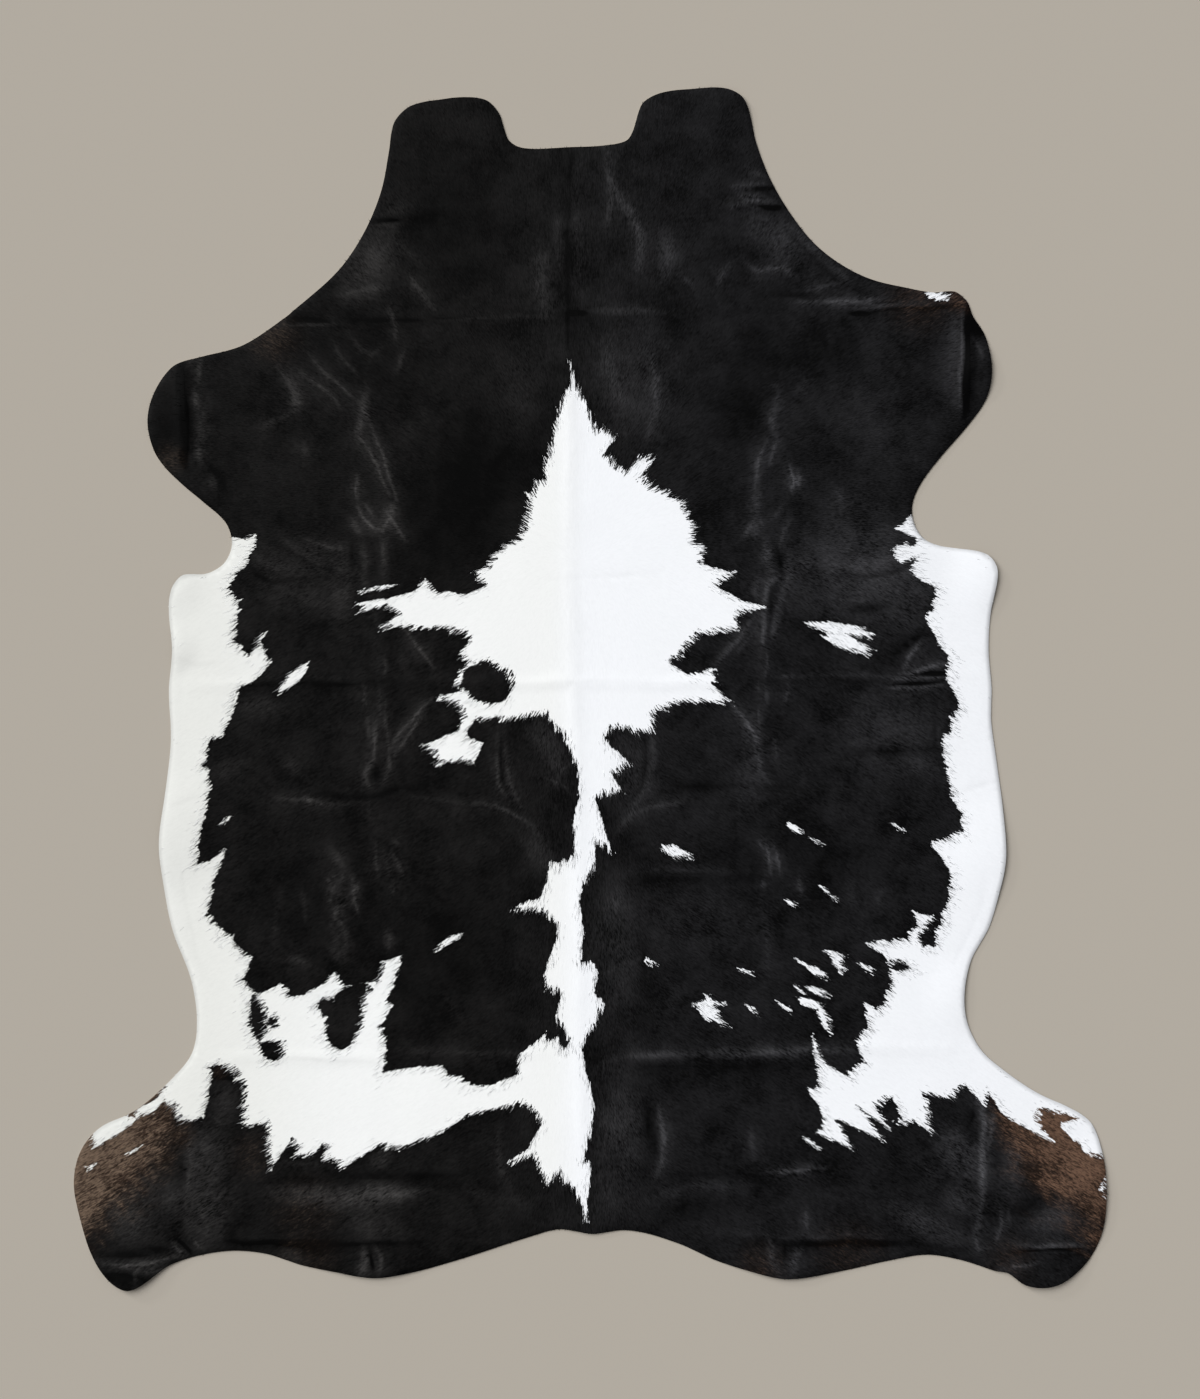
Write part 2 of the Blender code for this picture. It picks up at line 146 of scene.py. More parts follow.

# Fine creases of the coat alone, area: (half width in cm, strength, path). Above 0 a ridge with a painted
# highlight along it, below 0 a trough with painted shade.
coatCreases = {
    "neck": (
        (1.2, 0.32, ((3.6, 109), (3.4, 103), (5.8, 98.6), (8.4, 95.2), (10, 90), (9.8, 84))),
        (0.8, 0.30, ((3.2, 104), (4, 98), (3.4, 93))), (1.6, 0.20, ((14.6, 91), (15.8, 86), (14.4, 82))),
        (0.7, 0.25, ((25.6, 81), (27.6, 85))), (0.9, 0.14, ((18, 83), (21, 80))),
        (1.6, 0.32, ((-9.4, 87.4), (-10, 80), (-8.8, 75))), (0.6, -0.16, ((-3.7, 108), (-3.8, 101))),
        (0.4, -0.10, ((-3.8, 101), (-4.6, 85), (-4.2, 66))),
        (1.2, 0.10, ((-2.4, 108), (-2.2, 92), (-2.4, 76))), (1.0, -0.14, ((-5, 91.4), (-4.4, 90.6))),
        (0.5, -0.16, ((-4.9, 85.2), (-4.3, 85.2))), (0.5, -0.30, ((-4.6, 74.8), (-0.4, 74.8))),
        (1.0, 0.13, ((-6.4, 95), (-6.6, 90), (-6, 82)))),
    "left neck": (
        (0.35, -0.35, ((-44, 93.7), (-38.6, 93.5))), (0.5, 0.12, ((-43, 94.8), (-36, 95.4))),
        (0.4, 0.18, ((-43.4, 92.6), (-38.6, 92.8))), (0.8, 0.12, ((-41.4, 97.6), (-34, 96.8))),
        (0.5, -0.08, ((-50, 79.6), (-46, 81), (-40.4, 81.6))),
        (0.7, 0.15, ((-50.4, 78.8), (-46, 79.8), (-40, 80.2))),
        (0.7, 0.32, ((-36.2, 82.6), (-33.6, 79.4), (-31.2, 75.8))), (0.6, 0.10, ((-38, 90), (-34, 84)))),
    "right neck": (
        (0.35, -0.35, ((33.4, 96.5), (39, 96.1))), (0.5, 0.30, ((28, 96.2), (33, 97.6), (38.4, 97.3))),
        (0.45, -0.16, ((32.6, 99.7), (37, 99.9))), (0.5, 0.16, ((28.6, 100.4), (36.6, 101))),
        (0.5, 0.14, ((29, 98.4), (35, 98.6))),
        (0.35, -0.12, ((36.5, 95.4), (40, 91), (46, 84.5), (49.4, 81.4))),
        (0.8, 0.20, ((41, 91.6), (46, 86.6), (51, 82))),
        (0.6, 0.26, ((31, 85.4), (34, 83.4), (38, 84), (41.6, 82.2))),
        (0.8, 0.14, ((32, 104), (35, 102.6))), (0.9, 0.16, ((43, 79.8), (49, 81)))),
    "shoulder press": (
        (0.6, -0.26, ((-61, 74.4), (-57, 73.9), (-52, 73.5))),
        (0.3, -0.12, ((-52, 73.3), (-40, 73.7), (-20, 74.2))),
        (0.4, 0.26, ((-61.6, 72.6), (-54, 73), (-48, 73.2))),
        (0.35, 0.14, ((-30, 73.8), (-20, 74), (-9, 74))), (0.9, 0.16, ((0, 75.4), (8, 75.6), (18, 75.4))),
        (0.6, 0.34, ((41, 77.5), (50, 77.3), (59, 77.8))),
        (0.6, -0.10, ((31, 79.4), (41, 78.8), (50, 78.4))), (0.4, -0.26, ((51.6, 74.8), (56, 75))),
        (0.35, -0.14, ((56, 75.2), (64, 76.1), (74, 76.5))),
        (0.45, 0.20, ((50, 75.8), (58, 76.3), (68, 77.2)))),
    "left foreleg": (
        (0.75, -0.36, ((-81.6, 65.4), (-81.4, 55), (-80.8, 44.6))),
        (0.6, 0.32, ((-77.8, 67), (-78.2, 61.4))), (0.7, 0.26, ((-79, 60), (-78.4, 56.4))),
        (1.4, 0.16, ((-77.6, 56), (-78, 47))), (0.8, 0.20, ((-78.6, 48), (-77.4, 45))),
        (0.4, -0.09, ((-77, 45.6), (-74, 42), (-71.4, 38.4))), (0.9, 0.18, ((-75.6, 42.4), (-74.6, 39.6))),
        (0.5, 0.16, ((-80, 64.4), (-79, 66)))),
    "left shoulder": (
        (1.0, 0.24, ((-62, 64), (-59.4, 60.8), (-58.4, 57.4), (-59.2, 55.2))),
        (1.3, 0.19, ((-58.4, 58.4), (-58.8, 56.4))), (0.8, 0.14, ((-59.4, 55.2), (-62.4, 53.6), (-66, 52))),
        (1.6, 0.20, ((-57.4, 49), (-56.6, 46.6))),
        (0.35, 0.30, ((-57, 67.8), (-54.6, 64.5), (-50.4, 60.8), (-47, 57.8), (-44.8, 55.2))),
        (0.4, 0.25, ((-59, 64.4), (-55, 61.2), (-51.6, 58.4), (-49.6, 56))),
        (0.4, 0.20, ((-51, 69.4), (-49.4, 65.8), (-46.2, 62.6))),
        (0.6, 0.15, ((-48.2, 71.4), (-45.6, 67.8), (-43.4, 66.6), (-41.2, 68.8))),
        (0.5, 0.28, ((-40.2, 76.4), (-38.7, 72.4), (-38.8, 70))),
        (0.7, 0.14, ((-36.8, 68.4), (-38.6, 63.4))),
        (1.1, 0.36, ((-44.6, 60), (-45.2, 55), (-46.2, 52), (-45.8, 49.2))),
        (0.7, 0.10, ((-36.4, 54), (-37, 49.6))),
        (0.35, 0.36, ((-46.4, 51), (-44.4, 48.2), (-42.3, 44), (-40.4, 38.8))),
        (0.3, 0.30, ((-45.6, 56.2), (-43.2, 51.8), (-41.1, 45.8), (-39, 38.8), (-38.6, 37.4))),
        (0.4, 0.38, ((-46.2, 42.8), (-46.9, 39.8), (-46.6, 37.6)))),
    "left pucker": (
        (0.45, 0.39, ((-46.5, 36.6), (-45, 33.8), (-43.4, 32.2), (-41.4, 31.4))),
        (1.0, 0.29, ((-39.4, 37), (-39.8, 34.4))),
        (0.4, 0.42, ((-40.8, 35.6), (-39.4, 33.4), (-38, 31.2), (-36.8, 29.4))),
        (0.35, 0.34, ((-40, 34.4), (-41.6, 31.4))), (0.8, 0.22, ((-48, 34), (-46, 31))),
        (0.35, 0.20, ((-45, 37), (-43, 34.6))),
        (1.0, 0.30, ((-45.8, 28.6), (-44.7, 26), (-45.6, 22.4), (-45, 18.6))),
        (0.6, -0.14, ((-47.6, 29), (-47.4, 20))), (0.7, 0.34, ((-41.3, 29.4), (-41.1, 26), (-41.5, 22.6))),
        (0.4, -0.10, ((-43.2, 28), (-43, 22))), (0.8, 0.20, ((-43.2, 16), (-42.8, 13))),
        (0.4, 0.45, ((-40.8, 6.8), (-41, 2.2))), (0.4, 0.40, ((-45.3, 0.8), (-44.6, -3.8))),
        (0.3, 0.20, ((-44.3, -4.6), (-44.4, -10))), (0.3, 0.24, ((-42, 0), (-41.8, -5))),
        (0.3, 0.26, ((-41.2, -0.4), (-40.5, -9), (-40.2, -13))),
        (0.4, 0.30, ((-42.6, -6.6), (-42.8, -10.6), (-43.1, -14)))),
    "left flank": (
        (0.7, -0.16, ((-69, 25.4), (-66.2, 22.5), (-63, 21.5), (-58, 22.3), (-49, 21.8))),
        (0.7, -0.11, ((-62.3, 29.2), (-58.5, 26.4), (-54.4, 24.2))),
        (0.8, 0.14, ((-60.6, 29.4), (-56, 26.4), (-52, 25))),
        (0.8, 0.14, ((-68, 26.8), (-64, 25), (-59, 24.2))),
        (0.35, 0.34, ((-56.6, 29.8), (-52, 28.2), (-48.6, 28.3))), (0.6, 0.12, ((-60, 19.4), (-54, 17.2))),
        (0.45, 0.42, ((-37.6, 12.4), (-34.8, 8.9), (-31.5, 4.2))), (0.35, 0.12, ((-38.6, 10), (-36.4, 3))),
        (0.4, 0.36, ((-31.5, -1.6), (-34.4, -4.6), (-37.2, -7.4), (-39.6, -10.8))),
        (0.35, 0.36, ((-32.8, -4), (-36, -8.6), (-39.2, -13.2))),
        (0.25, -0.16, ((-32, -2.8), (-38.2, -10.4))),
        (0.6, -0.11, ((-69.4, 0.6), (-59, 1.1), (-46, 1), (-37, 1.2))),
        (0.5, 0.08, ((-66, 2.2), (-50, 2.6))),
        (0.7, 0.36, ((-43, -14), (-44.9, -16.4), (-44.7, -18.6), (-43.6, -20))),
        (0.9, -0.10, ((-42.9, -16), (-42.6, -18.4))),
        (0.5, 0.24, ((-40.4, -13), (-39.8, -15.6), (-40.6, -18), (-41.8, -19.6)))),
    "left loin": (
        (0.8, -0.11, ((-57, -20.8), (-50, -21.6), (-43.4, -21.4), (-39, -20.2), (-30, -20), (-20, -20.4))),
        (0.6, 0.20, ((-62.6, -21.6), (-56.2, -22.2), (-51.4, -23.4), (-44, -22.6))),
        (0.7, 0.24, ((-57.4, -21.8), (-55.4, -22.4))),
        (0.6, 0.26, ((-35, -21.6), (-25, -22.8), (-19, -23.4), (-15.3, -24.7), (-12.3, -26.6),
         (-10, -29.4))), (0.5, 0.36, ((-18.3, -6.6), (-18.8, -12.4), (-18.2, -18.6), (-16.8, -21.6))),
        (0.3, -0.14, ((-17.9, -7), (-18, -14), (-17, -20))),
        (0.5, 0.26, ((-17, -6.6), (-17, -13), (-15.9, -19.4), (-13.6, -23.4))),
        (0.4, 0.20, ((-9.4, -17.4), (-4.4, -19.8))),
        (0.4, 0.14, ((-7.8, -16.4), (-6.6, -15), (-5.4, -16), (-6.6, -17.2))),
        (0.6, 0.12, ((-44, -22.6), (-43.4, -28))),
        (0.4, 0.34, ((-43, -30.4), (-42.8, -33.8), (-42.5, -37))),
        (0.35, 0.20, ((-41.2, -32.2), (-40.4, -37))),
        (0.7, 0.32, ((-39.9, -32.8), (-38.6, -34.8), (-37.6, -36.8))),
        (0.6, 0.18, ((-40, -29.4), (-38.2, -31.6))),
        (1.2, 0.13, ((-52.6, -32), (-50, -34.6), (-48.8, -37))),
        (0.4, 0.46, ((-47.4, -37.8), (-47.3, -41), (-46.2, -44.6))),
        (0.3, 0.24, ((-46.5, -38.4), (-46.3, -41.4))), (0.4, 0.14, ((-39.4, -38), (-39.2, -41.4)))),
    "left rump": (
        (0.8, 0.16, ((-61.8, -40), (-62.8, -47), (-62.4, -53))),
        (0.6, 0.17, ((-57.6, -40.6), (-56.8, -47))), (1.0, 0.20, ((-60.4, -53.6), (-56.6, -55.2))),
        (0.8, 0.12, ((-37.4, -72.7), (-26, -72.9), (-13.6, -72.6))), (0.7, 0.10, ((-29, -61), (-26, -66))),
        (0.9, 0.24, ((-18, -86.8), (-18.4, -91.3), (-17.7, -95.5), (-16, -99.2))),
        (1.1, -0.05, ((-61, -97), (-50, -97.2), (-36, -97.4), (-21, -96.4))),
        (0.7, 0.14, ((-62, -94.4), (-52, -95.6))),
        (0.9, 0.22, ((-44, -100.8), (-38, -101.4), (-32.6, -100.4))),
        (0.7, 0.10, ((-24, -100.8), (-16, -101.6), (-12.4, -103.6))),
        (0.6, -0.13, ((-73, -110.6), (-50, -110.6), (-34, -110.4))),
        (1.0, 0.34, ((-45.4, -111.4), (-45, -114), (-45.6, -117))),
        (0.6, 0.26, ((-43, -111), (-41.6, -113), (-42.2, -116.6))),
        (0.5, -0.18, ((-44, -112), (-43.4, -116)))),
    "left hind leg": (
        (0.4, -0.20, ((-76, -77.8), (-70.6, -78.2))),
        (0.5, 0.16, ((-75.8, -85), (-73.4, -87), (-70.2, -86))), (0.9, -0.12, ((-81.6, -90), (-81.2, -99))),
        (1.0, -0.11, ((-72, -97), (-71.6, -110))), (0.6, 0.22, ((-79.8, -87.6), (-80, -95), (-80.4, -101))),
        (0.3, 0.30, ((-83.6, -110.4), (-82, -112.4), (-80.4, -114))),
        (0.3, 0.22, ((-79.2, -110.2), (-77.4, -112.8))), (0.4, -0.18, ((-82.4, -110.2), (-79.6, -113))),
        (1.0, -0.12, ((-98, -113), (-90, -112.6), (-84, -112))),
        (0.3, 0.46, ((-99.4, -114.4), (-93.6, -115), (-88, -114.7), (-81.6, -113))),
        (0.4, 0.28, ((-89.4, -115.2), (-90.7, -116.8), (-90.6, -118.6))),
        (0.3, 0.26, ((-89, -116.5), (-85, -115.8))), (0.9, -0.14, ((-97, -117), (-88, -117.6)))),
    "right shoulder": (
        (0.9, 0.20, ((12, 67.4), (12.9, 62), (13.2, 56), (11.7, 50.6))),
        (1.6, 0.12, ((3.4, 70), (4, 62), (7, 57.4))),
        (1.0, 0.34, ((37.2, 60.6), (37.8, 57.2), (36.5, 53.8), (37, 50.6))),
        (1.1, 0.30, ((36.2, 54.6), (36.6, 52))), (0.35, 0.30, ((35.6, 50), (33.9, 45.8), (32.6, 40))),
        (0.35, 0.30, ((37.4, 50.6), (36.3, 46.6), (35.8, 44.6))),
        (0.35, 0.46, ((39.9, 44.6), (40.8, 41.6), (40.4, 39.2))), (0.35, 0.26, ((41.6, 43), (41.9, 40))),
        (1.0, 0.15, ((40.6, 58), (43.6, 62))), (0.8, 0.10, ((47.6, 71.4), (47.8, 69))),
        (0.9, 0.14, ((49.6, 40), (50.6, 36)))),
    "right pucker": (
        (1.0, 0.42, ((33.2, 39), (33.3, 34.6))), (0.5, 0.46, ((33, 34.2), (31.6, 32), (30.6, 30.6))),
        (0.35, 0.42, ((33, 33.8), (33, 30.4))), (0.4, 0.40, ((33.6, 34.4), (34.8, 32.4))),
        (0.4, 0.34, ((39, 37.2), (37.2, 34.8), (36, 34))),
        (0.45, 0.50, ((40, 34.2), (38.5, 31.6), (37.5, 28.2))),
        (1.1, 0.42, ((35.1, 29.8), (35.4, 26), (36.6, 23.2))),
        (0.5, -0.18, ((37, 28.4), (38, 25), (38.2, 22.6))),
        (0.6, 0.70, ((37.8, 22.6), (35.4, 20.6), (34.7, 16.8), (35, 12.6), (34.2, 8.6))),
        (0.8, 0.36, ((33.6, 22), (33.4, 19.6), (33.8, 17.4))),
        (0.5, -0.22, ((37.4, 21.4), (35.9, 18.6), (36.6, 14.6), (35.8, 11))),
        (1.0, 0.38, ((39.2, 22), (38, 18.6), (37.2, 14.8), (36.9, 10.4))),
        (1.3, 0.34, ((39.6, 28), (40, 23), (39.6, 20))),
        (0.6, 0.38, ((34.2, 15.6), (32, 13.4), (29.6, 10), (27, 6.6), (25.4, 4.8))),
        (0.35, 0.14, ((34, 13.4), (28.8, 6.6))), (0.4, 0.30, ((35.2, 8), (35.4, 5), (35, 2.4))),
        (0.35, 0.30, ((35.2, 1), (35.4, -3.2))), (0.3, 0.20, ((33.6, 1.8), (34, -1))),
        (0.4, 0.38, ((39.5, 1.6), (38.8, -3))), (0.3, 0.16, ((34, -4), (34, -9))),
        (0.4, 0.24, ((37.8, 2.9), (40.8, 2.6)))),
    "right flank": (
        (0.5, -0.20, ((50, 22.9), (57, 22.3), (61.8, 23.8), (65, 25.6))),
        (0.4, -0.16, ((50.4, 26), (53.6, 28))), (0.8, -0.07, ((54, 32.2), (62, 34.4))),
        (1.2, -0.13, ((50.4, 15.8), (55, 16), (61, 16.8))), (0.8, 0.10, ((48, 24.6), (55, 25.2), (61, 26))),
        (0.3, -0.11, ((34, 1.9), (46, 1.8), (60, 2))), (0.4, 0.13, ((36, 3), (50, 2.7), (61, 2.8))),
        (0.6, 0.50, ((63.4, 2.9), (68, 4.4), (72, 5.2))), (0.6, -0.34, ((65.2, 2.9), (68, 3.2), (72, 3))),
        (0.3, 0.50, ((60, 2.2), (66, 2.4), (72, 2.2))), (0.4, -0.34, ((60.6, 1.2), (66, 1.3), (70.4, 1.4))),
        (0.45, 0.50, ((59.6, 0.4), (66, 0.5), (72, 0.9))),
        (0.5, 0.26, ((62.8, 3.6), (64, 6.5), (66.4, 9.6))),
        (1.0, -0.11, ((61.4, 6.4), (64.4, 10), (67, 11))),
        (0.6, 0.44, ((28.2, -3), (30.8, -6), (32.9, -8.8), (34, -11.6))),
        (0.4, 0.20, ((33.4, -12), (34.2, -16), (36, -19))), (0.5, 0.24, ((37, -10), (37.3, -14.4))),
        (0.8, -0.09, ((50, -12), (58, -12.4), (66, -12.1))), (0.5, -0.10, ((68.8, -1), (68.8, -14))),
        (0.4, 0.12, ((69.8, -1), (69.6, -9)))),
    "right loin": (
        (0.9, 0.15, ((12.4, -9.2), (12.8, -14.2), (11.9, -19), (9.4, -23.2), (6, -28.4))),
        (0.5, -0.13, ((10.8, -9), (11.1, -15), (10.1, -19.6), (7, -24))),
        (0.5, 0.16, ((5.6, -28.4), (8.6, -25.2), (13, -23.6), (19, -22.2))),
        (0.4, -0.07, ((16, -19.4), (28, -19.3), (42, -19.9))),
        (0.35, 0.34, ((34.8, -29.8), (35.4, -33), (36, -36.8))),
        (0.35, 0.30, ((36.6, -31), (37.5, -33.8), (38, -36.6))),
        (0.3, 0.22, ((33.6, -30.4), (34.6, -32.2))), (0.45, 0.36, ((41.7, -36.8), (42.4, -41))),
        (0.35, 0.24, ((34.4, -38), (34.7, -40))),
        (1.0, -0.04, ((3.4, -40), (7.7, -38), (17.8, -38.2), (32, -37.6))),
        (0.6, 0.07, ((6, -36.2), (30, -36.2))), (1.4, 0.18, ((6.2, -40), (4.8, -45))),
        (0.8, 0.10, ((52.4, -38), (52.8, -43))), (0.5, 0.12, ((57.4, -40), (58, -45)))),
    "right rump": (
        (5.0, 0.16, ((6, -41), (5.4, -50), (5, -60), (6.6, -70))),
        (5.0, 0.14, ((5.4, -78), (6, -90), (5, -104))), (0.7, -0.07, ((10.8, -41), (10.8, -70))),
        (0.9, 0.30, ((2.8, -75), (6.9, -73.2), (14, -72.7), (30, -72.8), (47, -72.2), (54, -72))),
        (1.2, -0.05, ((4, -75.6), (10, -75.2), (24, -75.2), (46, -75))),
        (0.5, 0.12, ((1, -75.4), (8, -76.8))), (1.2, 0.18, ((34.6, -45.6), (35.6, -51), (35, -57))),
        (0.8, 0.09, ((18, -59), (15, -65))), (1.0, -0.11, ((12, -83.6), (12.2, -89), (12.6, -94))),
        (0.7, 0.26, ((13.9, -83), (14.7, -89.6), (14.3, -95), (13, -98))),
        (0.7, -0.08, ((0.6, -94.6), (3, -95.6), (6, -93))), (0.8, -0.03, ((16, -97), (34, -97.6))),
        (0.3, 0.46, ((35.6, -96.4), (46.8, -96))),
        (0.5, 0.11, ((10, -103.6), (14, -100.8), (22, -99.6), (31, -99.6))),
        (0.9, 0.15, ((32.4, -88), (32.8, -94))),
        (0.7, -0.10, ((30, -110.6), (50, -110.6), (64, -111), (75, -112))),
        (0.3, 0.12, ((30, -109), (60, -109.5))), (0.9, 0.48, ((35.6, -110.6), (36, -113), (37.6, -117))),
        (0.9, 0.38, ((41.7, -112), (40.3, -114.8), (40.3, -117))),
        (0.7, -0.12, ((38.6, -111), (38.6, -114))), (0.5, 0.14, ((43, -104), (43.6, -108)))),
    "right foreleg": (
        (2.2, 0.12, ((72.6, 75), (72.2, 64), (71.6, 54))), (0.35, 0.36, ((74.5, 76), (74.2, 66), (74, 55))),
        (0.45, -0.40, ((75.6, 76.6), (75.3, 66), (74.9, 54))), (0.8, -0.09, ((73, 67), (73, 60))),
        (0.5, 0.14, ((76.6, 70), (78.4, 66))), (1.4, -0.16, ((76.8, 76), (78.6, 71)))),
    "right hind leg": (
        (0.8, 0.46, ((77.8, -81), (79, -87), (78.4, -91.3), (78.6, -101), (77.7, -107.2), (76.6, -108.8))),
        (0.6, 0.38, ((80.8, -84), (80.6, -88), (79.4, -92))), (0.4, 0.34, ((86, -91.4), (85.4, -96.4))),
        (0.7, -0.12, ((76.8, -84), (76.8, -91))), (0.4, 0.34, ((82.3, -103), (82.5, -107), (80.7, -111))),
        (0.3, 0.26, ((84, -103.6), (83.6, -108.4))), (0.4, 0.30, ((76.6, -109), (77.6, -112), (80, -112))),
        (0.6, 0.38, ((84, -110.5), (90, -111.5), (98.6, -110.8))),
        (0.35, -0.24, ((84, -112.1), (92, -112), (98.6, -111.6))),
        (0.3, 0.40, ((81, -116.2), (85.3, -115), (89.4, -114.7))), (0.8, 0.14, ((65, -94), (70, -97.8)))),
    # in the white coat every row, ridge or trough, is painted only as faint shade
    "white coat": (
        (0.3, -0.13, ((-3.9, 62), (-4.1, 40), (-4.3, 20), (-3.6, 2), (-2.8, -12))),
        (2.2, -0.05, ((-2, 44), (-2, 20), (-1.4, 4))), (0.5, -0.16, ((-14, 1), (0, 1.2), (19, 1.2))),
        (0.6, -0.22, ((-64, -74), (-42, -74.6))), (0.5, -0.14, ((-9, 22), (14, 23))),
        (0.8, -0.18, ((-83, 6), (-79, 4.4), (-74, 5))),
        (0.7, -0.18, ((-84, -24), (-80, -22), (-77.6, -21.6))),
        (0.7, -0.20, ((-81.4, -34), (-80.4, -44), (-77.6, -56))),
        (0.7, -0.18, ((79.4, -33), (78.4, -44), (73, -55))), (0.8, -0.16, ((76, 8), (80, 6.6), (82, 2))),
        (0.7, -0.16, ((75, -20), (82, -18))), (0.6, -0.16, ((58, -72.2), (70, -72)))),
}

# Where the cut edge curls off the floor: name: (x, y, radius, rise in mm)
curls = {
    "left hind leg tip": (-92.0, -120.0, 15.0, 11.0),
    "right hind leg tip": (91.0, -119.5, 14.0, 10.0),
    "right hind leg side": (103.0, -101.0, 13.0, 6.0),
    "left foreleg tip": (-88.4, 54.0, 9.0, 6.0),
    "right foreleg tip": (80.2, 64.0, 8.0, 7.0),
    "right armpit corner": (81.4, 23.0, 11.0, 8.0),
    "left armpit corner": (-83.6, 21.0, 8.0, 4.0),
    "right neck lobe": (29.0, 120.0, 11.0, 6.0),
    "left neck lobe": (-37.0, 116.0, 9.0, 4.0),
    "left flank nick": (-83.4, 8.0, 6.0, 5.0),
    "left flank wave": (-86.0, -29.0, 15.0, 8.0),
    "right flank wave": (83.0, -33.0, 15.0, 7.0),
    "right flank notch": (74.6, -61.0, 9.0, 5.0),
    "left tail lobe": (-44.0, -118.0, 14.0, 6.0),
    "right tail lobe": (39.0, -118.2, 14.0, 6.0),
    "tail notch": (0.3, -109.0, 8.0, 3.0),
}

